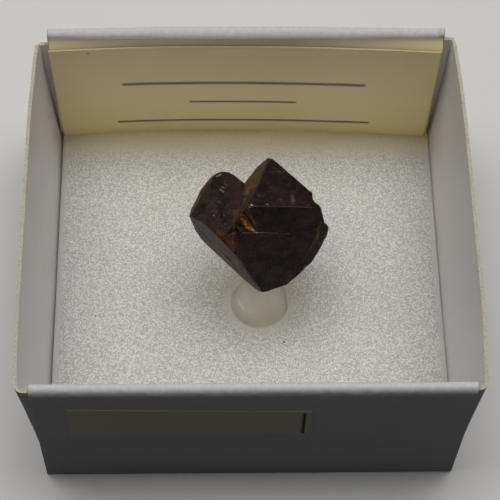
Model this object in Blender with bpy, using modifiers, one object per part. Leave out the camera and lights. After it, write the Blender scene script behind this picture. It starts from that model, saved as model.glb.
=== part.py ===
"""Magnetite crystals on a peg in a folding card box, with a locality label and a number label.

Lengths are metres. X runs to the right, Y away from the viewer and Z up.
The origin is at the middle of the box's underside.
"""
import math

import bmesh
import bpy
from mathutils import Euler, Vector

MM = 0.001
GAP = 0.3 * MM

# Box: card thickness, outer width between the panels' ends, depth over the double walls and rim height
CARD = 0.36 * MM
PANEL_WIDTH = 41.8 * MM
BOX_DEPTH = 41.86 * MM
RIM_HEIGHT = 20.49 * MM
DOUBLE_WALL = 1.1 * MM
RIM_ROUND = 0.5 * MM
FOLD_REVEAL = 0.1 * MM
BASE_INSET = 0.15 * MM
FLOOR_THICKNESS = 0.5 * MM

# Side walls: outer reach at the floor, then how far the top leans out at the front, middle and back
LEFT_FOOT = 20.95 * MM
RIGHT_FOOT = 21.15 * MM
LEFT_LEAN = (1.38 * MM, 1.64 * MM, 1.2 * MM)
RIGHT_LEAN = (0.75 * MM, 1.2 * MM, 0.77 * MM)
LEAN_POWERS = (1.6, 0.75, 0.6)
SIDE_HEIGHT = 19.85 * MM
SIDE_ROWS = 9
WALL_STEPS = 16
CORNER_STEPS = 4
FRONT_CORNER = 0.8 * MM
BACK_CORNER = 0.4 * MM
FRONT_FLAP = 20.38 * MM
BACK_FLAP = 20.15 * MM
FLAP_LENGTH = 1.8 * MM

# Length along a side wall over which it swings from a corner into its full lean, front and back
LEFT_BLEND = (8.0 * MM, 12.0 * MM)
RIGHT_BLEND = (10.0 * MM, 12.0 * MM)

# Foam pad
FOAM_TOP = 3.0 * MM
FOAM_LEFT = 20.5 * MM
FOAM_RIGHT = 20.6 * MM
FOAM_TAPER = 0.25 * MM
FOAM_CORNER = 1.6 * MM

# Peg: a narrow stem on a flared foot, as radius and height from the stem's top down to the foot's rim
PEG_CENTRE = (1.21 * MM, -2.71 * MM)
PEG_TOP = 11.5 * MM
PEG_STEM = 1.92 * MM
PEG_FLARE = (
    (1.92 * MM, 5.8 * MM),
    (2.05 * MM, 5.1 * MM),
    (2.5 * MM, 4.4 * MM),
    (2.9 * MM, 3.7 * MM),
    (3.2 * MM, 3.45 * MM),
)
PEG_STEPS = 40

# Locality label: a paper card whose ends stand forward of its peak, more so on the left
LABEL_WIDTH = 40.9 * MM
LABEL_HEIGHT = 15.6 * MM
LABEL_THICKNESS = 0.2 * MM
LABEL_PEAK = (-3.7 * MM, 19.15 * MM)
LABEL_BOW_LEFT = 0.0021 / MM
LABEL_BOW_RIGHT = 0.00141 / MM
LABEL_STEPS = 14

# Second sheet of the same paper, flat between the locality label and the back wall
SHEET_WIDTH = 41.0 * MM
SHEET_HEIGHT = 16.6 * MM
SHEET_THICKNESS = 0.08 * MM
SHEET_Y = 19.54 * MM

# Number label on the front wall, flush in a shallow pocket that keeps it clear of the card
STICKER_LEFT = -17.7 * MM
STICKER_RIGHT = 5.57 * MM
STICKER_BOTTOM = 10.3 * MM
STICKER_TOP = 16.4 * MM
STICKER_THICKNESS = 0.1 * MM
STICKER_CORNER = 0.6 * MM
POCKET_REACH = 1.0 * MM

# Crystal group: centre of the shared lattice, and the turn of its three fourfold axes
GROUP_CENTRE = Vector((0.86 * MM, 0.40 * MM, 15.0 * MM))
LATTICE_TURN = Euler((math.radians(22.5), math.radians(-25.3), math.radians(-7.25)), "XYZ")
BLANK_SIZE = 40.0 * MM
CUT_TOLERANCE = 1e-7

# Share of an edge's length that runs along an axis when the edge counts as parallel to it
PARALLEL = 0.99

# Each crystal lists its faces as direction on the lattice axes and distance from the centre in mm
UPPER_CRYSTAL = {
    "top": ((1, 1, 1), 4.15),
    "front": ((1, -1, 1), 3.40),
    "left": ((-1, 1, 1), 2.60),
    "back right": ((1, 1, -1), 5.26),
    "back left": ((-1, 1, -1), 5.95),
    "shoulder": ((-2, 5, 1), 5.62),
    "lower left": ((-1, -1, 1), 1.90),
    "contact": ((-1.0, -0.09, 0.91), 3.05),
    "right": ((5, 2, -3), 5.65),
    "lower right": ((3, -2, -1), 5.85),
    "underside": ((-1, -1, -1), 2.00),
    "foot": ((1, -1, -1), 6.25),
}
TOP_TERRACE = {
    "top": ((1, 1, 1), 4.27),
    "front": ((1, -1, 1), 2.62),
    "left": ((-1, 1, 1), 2.57),
    "back right": ((1, 1, -1), 5.17),
    "back left": ((-1, 1, -1), 5.90),
    "shoulder": ((-2, 5, 1), 5.56),
    "right": ((3, 0, -1), 5.75),
    "underside": ((-1, -1, -1), 0.00),
}
LOWER_CRYSTAL = {
    "front": ((1, -1, 1), 3.56),
    "ledge": ((1, 1, 1), 1.54),
    "strip": ((-1.0, -0.09, 0.91), 3.19),
    "grey": ((-0.84, -1.0, 0.68), 4.66),
    "right front": ((1.0, -0.65, 0.01), 5.68),
    "right foot": ((1.0, -0.91, -0.95), 6.57),
    "lower right": ((0.52, -1.0, -0.76), 6.63),
    "bottom": ((0.02, -1.0, -0.52), 6.76),
    "lower left": ((-1.0, -0.94, -0.81), 5.18),
    "left foot": ((-1.0, -0.71, -0.38), 5.20),
    "bottom tip": ((-0.1, -1.0, -0.29), 7.05),
    "right": ((1.0, -0.43, -0.62), 7.02),
    "upper right": ((0.99, 1.0, -0.44), 4.74),
    "back": ((0, 1, 0), 2.60),
    "underside": ((-1, -1, -1), 5.10),
    "back left": ((-1, 1, -1), 4.60),
}
LEFT_CRYSTAL = {
    "top": ((0.49, 0.34, 1.0), 2.62),
    "left": ((-0.02, 0.35, 1.0), 4.59),
    "rusty": ((0.59, -0.39, 1.0), 3.37),
    "grey": ((-0.84, -1.0, 0.68), 4.69),
    "left foot": ((-1.0, -0.01, 0.23), 6.49),
    "lower left": ((-1.0, -0.31, 0.03), 6.15),
    "bottom": ((-1.0, -0.94, -0.81), 5.21),
    "bottom tip": ((-1.0, -0.71, -0.38), 5.17),
    "back right": ((0.76, 1.0, -0.76), 1.38),
    "back left": ((-0.64, 1.0, -0.05), 5.70),
    "back": ((-0.16, 1.0, -0.17), 4.98),
    "bevel": ((-0.89, 1.0, 0.86), 6.28),
    "lower bevel": ((-0.92, 0.82, 1.0), 6.33),
    "side": ((-1.0, 0.62, 0.32), 6.80),
    "lower side": ((-1.0, 0.5, 0.25), 6.53),
    "right": ((0.91, -0.05, -0.41), 0.00),
    "front": ((1, -1, 1), 3.31),
    "back foot": ((-1, 1, -1), 4.40),
    "underside": ((-1, -1, -1), 5.30),
}
CRYSTALS = {
    "upper": UPPER_CRYSTAL,
    "terrace": TOP_TERRACE,
    "lower": LOWER_CRYSTAL,
    "left": LEFT_CRYSTAL,
}


def clear_scene():
    for item in list(bpy.data.objects):
        bpy.data.objects.remove(item, do_unlink=True)


def new_collection(name):
    group = bpy.data.collections.new(name)
    bpy.context.scene.collection.children.link(group)
    return group


def new_material(name, colour, roughness, metallic=0.0):
    material = bpy.data.materials.new(name)
    material.use_nodes = True
    shader = material.node_tree.nodes["Principled BSDF"]
    shader.inputs["Base Color"].default_value = (*colour, 1.0)
    shader.inputs["Roughness"].default_value = roughness
    shader.inputs["Metallic"].default_value = metallic
    return material


def add_object(name, bm, group, material=None):
    bmesh.ops.recalc_face_normals(bm, faces=bm.faces[:])
    mesh = bpy.data.meshes.new(name)
    bm.to_mesh(mesh)
    bm.free()
    item = bpy.data.objects.new(name, mesh)
    group.objects.link(item)
    if material:
        mesh.materials.append(material)
    return item


def as_cutter(item):
    item.hide_render = True
    item.display_type = "WIRE"
    return item


def combine(item, tool, operation):
    modifier = item.modifiers.new(tool.name, "BOOLEAN")
    modifier.operation = operation
    modifier.solver = "EXACT"
    modifier.object = tool


def thicken(item, thickness):
    modifier = item.modifiers.new("card", "SOLIDIFY")
    modifier.thickness = thickness
    modifier.offset = 0.0
    modifier.use_even_offset = True


def box_mesh(low, high):
    bm = bmesh.new()
    bmesh.ops.create_cube(bm, size=1.0)
    for vert in bm.verts:
        for axis in range(3):
            middle = (low[axis] + high[axis]) / 2
            vert.co[axis] = middle + vert.co[axis] * (high[axis] - low[axis])
    return bm


def edges_along(bm, axis, where):
    found = []
    for edge in bm.edges:
        run = edge.verts[1].co - edge.verts[0].co
        if abs(run[axis]) > PARALLEL * run.length and where((edge.verts[0].co + edge.verts[1].co) / 2):
            found.append(edge)
    return found


def round_edges(bm, edges, radius, segments):
    bmesh.ops.bevel(bm, geom=edges, offset=radius, segments=segments, profile=0.5, affect="EDGES")


def double_wall(name, side, group):
    """Front wall at side -1 and back wall at side 1, with the top fold rounded."""
    outer = side * BOX_DEPTH / 2
    inner = side * (BOX_DEPTH / 2 - DOUBLE_WALL)
    half = PANEL_WIDTH / 2
    bm = box_mesh((-half, min(outer, inner), FOLD_REVEAL), (half, max(outer, inner), RIM_HEIGHT))
    round_edges(bm, edges_along(bm, 0, lambda co: co.z > RIM_HEIGHT / 2), RIM_ROUND, 4)
    return as_cutter(add_object(name, bm, group))


def side_reach(y, z, form):
    """Distance of the middle of the card from X = 0 at a place along a side wall."""
    foot, lean, blends = form
    height = z / SIDE_HEIGHT
    front, middle, back = [amount * height ** power for amount, power in zip(lean, LEAN_POWERS)]
    end, flap, blend = (front, FRONT_FLAP, blends[0]) if y < 0 else (back, BACK_FLAP, blends[1])
    run = min(1.0, (flap - abs(y)) / blend)
    return foot - CARD / 2 + end + (middle - end) * math.sin(run * math.pi / 2)


def side_stations():
    """Stations along a side wall from its front flap to its back flap: kind, end and amount."""
    inner_steps = range(1, CORNER_STEPS)
    stations = [("flap", -1, 1.0), ("flap", -1, 0.0)]
    stations += [("corner", -1, step / CORNER_STEPS) for step in inner_steps]
    for step in range(WALL_STEPS + 1):
        stations.append(("wall", 0, math.sin((step / WALL_STEPS - 0.5) * math.pi)))
    stations += [("corner", 1, step / CORNER_STEPS) for step in reversed(inner_steps)]
    return stations + [("flap", 1, 0.0), ("flap", 1, 1.0)]


def corner_at(end):
    """Distance of a flap from Y = 0 and the radius of the corner that leads to it."""
    return (BACK_FLAP, BACK_CORNER) if end > 0 else (FRONT_FLAP, FRONT_CORNER)


def side_point(station, z, form):
    """Plan position of a station at a height, as a distance out from X = 0 and a Y."""
    kind, end, amount = station
    flap, radius = corner_at(amount if kind == "wall" else end)
    limit = flap - radius
    if kind == "wall":
        return side_reach(amount * limit, z, form), amount * limit
    reach = side_reach(end * limit, z, form) - radius
    if kind == "flap":
        return reach - amount * FLAP_LENGTH, end * flap
    angle = amount * math.pi / 2
    across = radius * math.sin(angle)
    along = radius * (1 - math.cos(angle))
    return reach + across, end * (flap - along)


def side_wall(name, side, form, group):
    """One sheet of card: the wall, its two rounded corners and the flaps that enter the double walls."""
    stations = side_stations()
    last = len(stations) - 1
    bm = bmesh.new()
    bmesh.ops.create_grid(bm, x_segments=last, y_segments=SIDE_ROWS, size=0.5)
    for vert in bm.verts:
        station = stations[round((vert.co.x + 0.5) * last)]
        z = FOLD_REVEAL + (vert.co.y + 0.5) * (SIDE_HEIGHT - FOLD_REVEAL)
        across, along = side_point(station, z, form)
        vert.co = Vector((side * across, along, z))
    item = as_cutter(add_object(name, bm, group))
    thicken(item, CARD)
    return item


def card_box(parts, tools, material):
    half_width = PANEL_WIDTH / 2 - BASE_INSET
    half_depth = BOX_DEPTH / 2 - BASE_INSET
    bm = box_mesh((-half_width, -half_depth, 0.0), (half_width, half_depth, FLOOR_THICKNESS))
    item = add_object("card_box", bm, parts, material)
    combine(item, double_wall("front_wall", -1, tools), "UNION")
    combine(item, double_wall("back_wall", 1, tools), "UNION")
    combine(item, side_wall("left_wall", -1, (LEFT_FOOT, LEFT_LEAN, LEFT_BLEND), tools), "UNION")
    combine(item, side_wall("right_wall", 1, (RIGHT_FOOT, RIGHT_LEAN, RIGHT_BLEND), tools), "UNION")
    combine(item, sticker_pocket(tools), "DIFFERENCE")
    return item


def sticker_pocket(tools):
    face = -BOX_DEPTH / 2
    low = (STICKER_LEFT - GAP, face - POCKET_REACH, STICKER_BOTTOM - GAP)
    high = (STICKER_RIGHT + GAP, face + STICKER_THICKNESS / 2 + GAP, STICKER_TOP + GAP)
    return as_cutter(add_object("sticker_pocket", box_mesh(low, high), tools))


def number_label(parts, material):
    face = -BOX_DEPTH / 2
    low = (STICKER_LEFT, face - STICKER_THICKNESS / 2, STICKER_BOTTOM)
    high = (STICKER_RIGHT, face + STICKER_THICKNESS / 2, STICKER_TOP)
    bm = box_mesh(low, high)
    round_edges(bm, edges_along(bm, 1, lambda co: True), STICKER_CORNER, 3)
    return add_object("number_label", bm, parts, material)


def foam_pad(parts, material):
    half_depth = BOX_DEPTH / 2 - DOUBLE_WALL - GAP
    bottom = FLOOR_THICKNESS + GAP
    bm = box_mesh((-FOAM_LEFT, -half_depth, bottom), (FOAM_RIGHT, half_depth, FOAM_TOP))
    for vert in bm.verts:
        if vert.co.z < (bottom + FOAM_TOP) / 2:
            vert.co.x -= math.copysign(FOAM_TAPER, vert.co.x)
    upright = edges_along(bm, 2, lambda co: True)
    round_edges(bm, upright, FOAM_CORNER, 4)
    return add_object("foam_pad", bm, parts, material)


def locality_label(parts, material):
    bottom = FOAM_TOP + GAP
    peak_x, peak_y = LABEL_PEAK
    bm = bmesh.new()
    bmesh.ops.create_grid(bm, x_segments=LABEL_STEPS, y_segments=1, size=0.5)
    for vert in bm.verts:
        x = vert.co.x * LABEL_WIDTH
        away = x - peak_x
        y = peak_y - (LABEL_BOW_RIGHT if away > 0 else LABEL_BOW_LEFT) * away * away
        vert.co = Vector((x, y, bottom + (vert.co.y + 0.5) * LABEL_HEIGHT))
    item = add_object("locality_label", bm, parts, material)
    thicken(item, LABEL_THICKNESS)
    return item


def backing_sheet(parts, material):
    bottom = FOAM_TOP + GAP
    low = (-SHEET_WIDTH / 2, SHEET_Y - SHEET_THICKNESS / 2, bottom)
    high = (SHEET_WIDTH / 2, SHEET_Y + SHEET_THICKNESS / 2, bottom + SHEET_HEIGHT)
    return add_object("backing_sheet", box_mesh(low, high), parts, material)


def crystal_mesh(faces, grow):
    """A block cut back to a crystal's faces, each moved out by grow."""
    bm = bmesh.new()
    bmesh.ops.create_cube(bm, size=BLANK_SIZE)
    lattice = LATTICE_TURN.to_matrix()
    for direction, distance in faces.values():
        normal = lattice @ Vector(direction).normalized()
        cut = bmesh.ops.bisect_plane(
            bm,
            geom=bm.verts[:] + bm.edges[:] + bm.faces[:],
            dist=CUT_TOLERANCE,
            plane_co=normal * (distance * MM + grow),
            plane_no=normal,
            clear_outer=True,
        )
        rim = [part for part in cut["geom_cut"] if isinstance(part, bmesh.types.BMEdge)]
        if rim:
            bmesh.ops.contextual_create(bm, geom=rim)
    return bm


def crystal_solids(prefix, grow, tools):
    solids = []
    for name, faces in CRYSTALS.items():
        item = add_object(prefix + name, crystal_mesh(faces, grow), tools)
        item.location = GROUP_CENTRE
        solids.append(as_cutter(item))
    return solids


def magnetite_crystal(parts, tools, material):
    first, *others = crystal_solids("crystal_", 0.0, tools)
    item = bpy.data.objects.new("magnetite_crystal", first.data.copy())
    item.location = first.location
    item.data.materials.append(material)
    parts.objects.link(item)
    for other in others:
        combine(item, other, "UNION")
    return item


def specimen_peg(parts, tools, material):
    """A turned peg whose top follows the crystals' underside."""
    foot = FOAM_TOP + GAP
    rim_radius = PEG_FLARE[-1][0]
    profile = [(0.0, PEG_TOP), (PEG_STEM, PEG_TOP), *PEG_FLARE, (rim_radius, foot), (0.0, foot)]
    bm = bmesh.new()
    verts = [bm.verts.new((radius, 0.0, height)) for radius, height in profile]
    for upper, lower in zip(verts, verts[1:]):
        bm.edges.new((upper, lower))
    mesh = bpy.data.meshes.new("specimen_peg")
    bm.to_mesh(mesh)
    bm.free()
    item = bpy.data.objects.new("specimen_peg", mesh)
    item.location = (*PEG_CENTRE, 0.0)
    parts.objects.link(item)
    mesh.materials.append(material)
    turn = item.modifiers.new("turn", "SCREW")
    turn.steps = PEG_STEPS
    turn.render_steps = PEG_STEPS
    turn.use_merge_vertices = True
    turn.merge_threshold = 0.00001
    turn.use_smooth_shade = True
    for solid in crystal_solids("clearance_", GAP, tools):
        combine(item, solid, "DIFFERENCE")
    return item


def main():
    clear_scene()
    parts = new_collection("Magnetite specimen in card box")
    tools = new_collection("Cutters")
    card_box(parts, tools, new_material("card", (0.62, 0.60, 0.56), 0.75))
    foam_pad(parts, new_material("foam", (0.46, 0.44, 0.40), 0.95))
    specimen_peg(parts, tools, new_material("peg", (0.60, 0.56, 0.45), 0.35))
    magnetite_crystal(parts, tools, new_material("magnetite", (0.05, 0.04, 0.035), 0.35, 0.5))
    locality_label(parts, new_material("locality_paper", (0.55, 0.48, 0.33), 0.9))
    backing_sheet(parts, new_material("backing_paper", (0.54, 0.47, 0.33), 0.9))
    number_label(parts, new_material("number_paper", (0.60, 0.57, 0.48), 0.85))


main()
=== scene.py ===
"""Dresses the boxed magnetite crystals: card tray, foam pad, peg, crystals and paper labels.

Sizes in the class fields are millimetres in the tray's frame: X to the right, Y away from the viewer, Z up,
with the origin at the middle of the tray's underside.
"""
import logging
import math
from dataclasses import dataclass, field
from enum import Enum
from typing import Iterable, Sequence

import bmesh
import bpy
import numpy as np
from mathutils import Matrix, Vector, noise
from mathutils.bvhtree import BVHTree


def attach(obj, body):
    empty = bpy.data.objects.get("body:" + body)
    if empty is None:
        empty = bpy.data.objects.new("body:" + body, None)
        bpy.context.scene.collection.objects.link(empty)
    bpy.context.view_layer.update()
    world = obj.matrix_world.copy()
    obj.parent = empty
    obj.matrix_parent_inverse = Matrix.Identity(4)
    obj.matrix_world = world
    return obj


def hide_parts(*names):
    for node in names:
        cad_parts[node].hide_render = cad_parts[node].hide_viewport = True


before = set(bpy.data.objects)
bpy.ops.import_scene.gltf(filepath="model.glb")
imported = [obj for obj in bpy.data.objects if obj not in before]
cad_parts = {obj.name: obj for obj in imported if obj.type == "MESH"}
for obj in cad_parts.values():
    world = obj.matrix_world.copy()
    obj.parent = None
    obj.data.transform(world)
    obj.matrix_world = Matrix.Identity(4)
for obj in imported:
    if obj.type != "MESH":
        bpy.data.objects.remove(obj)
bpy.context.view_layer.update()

MM = 0.001
BODY = "root"
IMAGE_SIZE = 500
LOG = logging.getLogger("specimen")

Band = tuple[float, float]
Colour = tuple[float, float, float]
Pixel = tuple[float, float]
Triple = tuple[float, float, float]
Socket = bpy.types.NodeSocket

RISE: Band = (0.0, 1.0)
FALL: Band = (1.0, 0.0)
MIDDLE: Band = (0.35, 0.65)


class Stain(Enum):
    """Surface films and marks on the crystals, with painted highlights and some painted shade and light among
    them, each kept as an attribute of that name.
    """

    RUST = "rust"
    TAN = "tan"
    GLINT = "glint"
    DARK_AND_SHADE = "dark_and_shade"
    SLATE = "slate"
    PLUM = "plum"
    UMBER = "umber"
    ROUGH = "rough"
    SATIN = "satin"


class Run(Enum):
    """Stretches of a side wall's card, seen from above."""

    FLAP = "flap"
    CORNER = "corner"
    WALL = "wall"


@dataclass(frozen=True)
class Texture:
    """A noise: its features per millimetre, its octaves of finer noise and how strong these are."""

    scale: float
    octaves: float = 4.0
    rough: float = 0.5


class Wiring:
    """Adds and joins the shader nodes of one material."""

    def __init__(self, name: str) -> None:
        """Starts a material that holds a principled shader and its output.

        Args:
            name: Name of the new material.
        """
        self.material = bpy.data.materials.new(name)
        self.material.use_nodes = True
        self.nodes = self.material.node_tree.nodes
        self.links = self.material.node_tree.links
        self.shader = self.nodes["Principled BSDF"]
        self.place = self._place()

    def _place(self) -> Socket:
        """Gives the place on the object, in millimetres."""
        where = self.nodes.new("ShaderNodeTexCoord")
        scale = self.nodes.new("ShaderNodeVectorMath")
        scale.operation = "SCALE"
        scale.inputs["Scale"].default_value = 1.0 / MM
        self.links.new(where.outputs["Object"], scale.inputs[0])
        return scale.outputs[0]

    def feed(self, socket: Socket, value: object) -> None:
        """Links an output to a socket, or sets a plain value on it.

        Args:
            socket: The input to fill.
            value: An output socket, a number or a tuple.
        """
        if isinstance(value, bpy.types.NodeSocket):
            self.links.new(value, socket)
        elif isinstance(value, tuple) and len(value) == 3 and socket.type == "RGBA":
            socket.default_value = (*value, 1.0)
        else:
            socket.default_value = value

    def noise(self, texture: Texture, place: Socket | None = None) -> Socket:
        """Adds a noise texture.

        Args:
            texture: Its settings.
            place: Place to read instead of the object's own.

        Returns:
            The noise value, about 0.25 to 0.75.
        """
        node = self.nodes.new("ShaderNodeTexNoise")
        self.feed(node.inputs["Vector"], place or self.place)
        node.inputs["Scale"].default_value = texture.scale
        node.inputs["Detail"].default_value = texture.octaves
        node.inputs["Roughness"].default_value = texture.rough
        return node.outputs["Fac"]

    def cells(self, scale: float) -> tuple[Socket, Socket]:
        """Adds a texture of cells.

        Args:
            scale: Cells per millimetre.

        Returns:
            Each cell's own random value, and the distance from its middle.
        """
        node = self.nodes.new("ShaderNodeTexVoronoi")
        self.feed(node.inputs["Vector"], self.place)
        node.inputs["Scale"].default_value = scale
        tint = self.nodes.new("ShaderNodeSeparateColor")
        self.feed(tint.inputs[0], node.outputs["Color"])
        return tint.outputs[0], node.outputs["Distance"]

    def stretch(self, factors: Triple) -> Socket:
        """Gives the place multiplied by a factor on each axis."""
        node = self.nodes.new("ShaderNodeVectorMath")
        node.operation = "MULTIPLY"
        self.links.new(self.place, node.inputs[0])
        node.inputs[1].default_value = factors
        return node.outputs[0]

    def axes(self) -> tuple[Socket, ...]:
        """Splits the place into its X, Y and Z."""
        node = self.nodes.new("ShaderNodeSeparateXYZ")
        self.links.new(self.place, node.inputs[0])
        return tuple(node.outputs)

    def math(self, operation: str, first: object, second: object = 0.0) -> Socket:
        """Adds a math node.

        Args:
            operation: The node's operation.
            first: First value or socket.
            second: Second value or socket.

        Returns:
            The result.
        """
        node = self.nodes.new("ShaderNodeMath")
        node.operation = operation
        self.feed(node.inputs[0], first)
        self.feed(node.inputs[1], second)
        return node.outputs[0]

    def times(self, first: object, second: object) -> Socket:
        """Multiplies two values."""
        return self.math("MULTIPLY", first, second)

    def weigh(self, first: Socket, second: Socket, shares: Band) -> Socket:
        """Adds two values, each multiplied by its share."""
        return self.math("ADD", self.times(first, shares[0]), self.times(second, shares[1]))

    def span(self, value: object, band: Band, result: Band = RISE) -> Socket:
        """Maps a band of values smoothly onto the result's band and clamps the rest.

        Args:
            value: The value to map.
            band: Start and end of the input range.
            result: What the start and the end give.

        Returns:
            The mapped value.
        """
        node = self.nodes.new("ShaderNodeMapRange")
        node.interpolation_type = "SMOOTHSTEP"
        self.feed(node.inputs["Value"], value)
        for name, number in zip(("From Min", "From Max", "To Min", "To Max"), (*band, *result)):
            node.inputs[name].default_value = number
        return node.outputs["Result"]

    def mix(self, factor: object, first: object, second: object) -> Socket:
        """Mixes two colours.

        Args:
            factor: Share of the second colour.
            first: First colour.
            second: Second colour.

        Returns:
            The mixed colour.
        """
        node = self.nodes.new("ShaderNodeMix")
        node.data_type = "RGBA"
        self.feed(node.inputs[0], factor)
        self.feed(node.inputs[6], first)
        self.feed(node.inputs[7], second)
        return node.outputs[2]

    def ramp(self, value: object, stops: Sequence[tuple[float, Colour]]) -> Socket:
        """Maps a value onto a row of colours.

        Args:
            value: The value to map.
            stops: Places from 0 to 1 and their colours.

        Returns:
            The colour.
        """
        node = self.nodes.new("ShaderNodeValToRGB")
        self.feed(node.inputs[0], value)
        elements = node.color_ramp.elements
        while len(elements) < len(stops):
            elements.new(0.5)
        for element, (place, colour) in zip(elements, stops):
            element.position = place
            element.color = (*colour, 1.0)
        return node.outputs["Color"]

    def mask(self, name: str) -> Socket:
        """Reads a mesh attribute's value."""
        node = self.nodes.new("ShaderNodeAttribute")
        node.attribute_name = name
        return node.outputs["Fac"]

    def bump(self, height: Socket, relief: Band) -> Socket:
        """Adds a bump.

        Args:
            height: Height from 0 to 1.
            relief: Depth in millimetres, and the share of it that shows.

        Returns:
            The bumped normal.
        """
        node = self.nodes.new("ShaderNodeBump")
        self.feed(node.inputs["Height"], height)
        node.inputs["Distance"].default_value = relief[0] * MM
        node.inputs["Strength"].default_value = relief[1]
        return node.outputs[0]

    def scatter(self, depth: float, radius: Triple) -> None:
        """Lets light into the surface: the depth in metres and its share for red, green and blue."""
        self.shader.subsurface_method = "BURLEY"
        self.finish(Subsurface_Weight=1.0, Subsurface_Scale=depth, Subsurface_Radius=radius)

    def finish(self, **values: object) -> bpy.types.Material:
        """Fills the shader's sockets and gives the material.

        Args:
            values: Socket names with underscores for spaces, and what goes in each.

        Returns:
            The finished material.
        """
        for name, value in values.items():
            self.feed(self.shader.inputs[name.replace("_", " ")], value)
        return self.material


@dataclass(frozen=True)
class CardFinish:
    """White box card: smooth face with faint fibres and darker fold tops, partly rubbed fuzz and partly painted
    shade; painted light lifts the back corners and a painted shade line marks their gap.
    """

    name: str = "card_face"
    tone: Colour = (0.815, 0.79, 0.818)
    shade: Colour = (0.788, 0.76, 0.787)
    # darker grey of the fibre streaks and of the fold tops, where it is partly rubbed wear and partly painted
    # shade
    fibre_and_rim_shade: Colour = (0.56, 0.552, 0.55)
    # brown of the painted shade line in the gap at the back corners
    seam_shade: Colour = (0.30, 0.22, 0.18)
    # paler, warmer tone of the back corners: painted light lifting their shade
    corner: Colour = (0.99, 0.94, 0.915)
    cloud: Texture = Texture(0.12, 3.0)
    fibre: Texture = Texture(5.0, 6.0, 0.65)
    fibre_run: Triple = (1.0, 1.0, 0.55)
    fibre_band: Band = (0.3, 0.7)
    fibre_share: Band = (0.0, 0.22)
    rim_shade_heights: Band = (19.6, 20.1)
    rub: Texture = Texture(2.2, 5.0)
    rub_band: Band = (0.35, 0.6)
    rub_share: Band = (0.75, 1.0)
    lumps: Texture = Texture(1.1)
    lump_shares: Band = (0.5, 0.5)
    roughness: Band = (0.42, 0.9)
    specular: float = 0.6
    relief: Band = (0.05, 0.55)

    def make(self) -> bpy.types.Material:
        """Builds the material."""
        wires = Wiring(self.name)
        fibre = wires.noise(self.fibre, wires.stretch(self.fibre_run))
        colour = wires.mix(wires.span(wires.noise(self.cloud), MIDDLE), self.shade, self.tone)
        colour = wires.mix(wires.span(fibre, self.fibre_band, self.fibre_share), colour, self.fibre_and_rim_shade)
        rubbed = wires.span(wires.noise(self.rub), self.rub_band, self.rub_share)
        # painted shade: the fold tops turn darker grey, mottled by the rubbed noise
        worn = wires.times(wires.span(wires.axes()[2], self.rim_shade_heights), rubbed)
        colour = wires.mix(worn, colour, self.fibre_and_rim_shade)
        # painted light: the back corners of the side walls turn paler
        colour = wires.mix(wires.mask("corner"), colour, self.corner)
        # painted shade: a dark line along the gap at the back corners
        colour = wires.mix(wires.mask("seam_shade"), colour, self.seam_shade)
        surface = wires.weigh(fibre, wires.noise(self.lumps), self.lump_shares)
        return wires.finish(
            Base_Color=colour, Roughness=wires.span(worn, RISE, self.roughness),
            Specular_IOR_Level=self.specular, Normal=wires.bump(surface, self.relief),
        )


@dataclass(frozen=True)
class CardEdgeFinish:
    """Raw board along a cut edge: cream core with pressed fibres."""

    name: str = "card_edge"
    core: Colour = (0.56, 0.53, 0.43)
    grey: Colour = (0.40, 0.365, 0.29)
    plies: Texture = Texture(5.0, 4.0, 0.75)
    ply_band: Band = (0.40, 0.56)
    blotch: Texture = Texture(0.5, 3.0)
    blotch_band: Band = (0.5, 0.7)
    blotch_share: Band = (0.0, 0.4)
    roughness: float = 0.92
    specular: float = 0.15
    relief: Band = (0.08, 0.8)

    def make(self) -> bpy.types.Material:
        """Builds the material."""
        wires = Wiring(self.name)
        plies = wires.noise(self.plies)
        colour = wires.mix(wires.span(plies, self.ply_band), self.grey, self.core)
        blotch = wires.span(wires.noise(self.blotch), self.blotch_band, self.blotch_share)
        return wires.finish(
            Base_Color=wires.mix(blotch, colour, self.grey), Roughness=self.roughness,
            Specular_IOR_Level=self.specular, Normal=wires.bump(plies, self.relief),
        )


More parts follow.
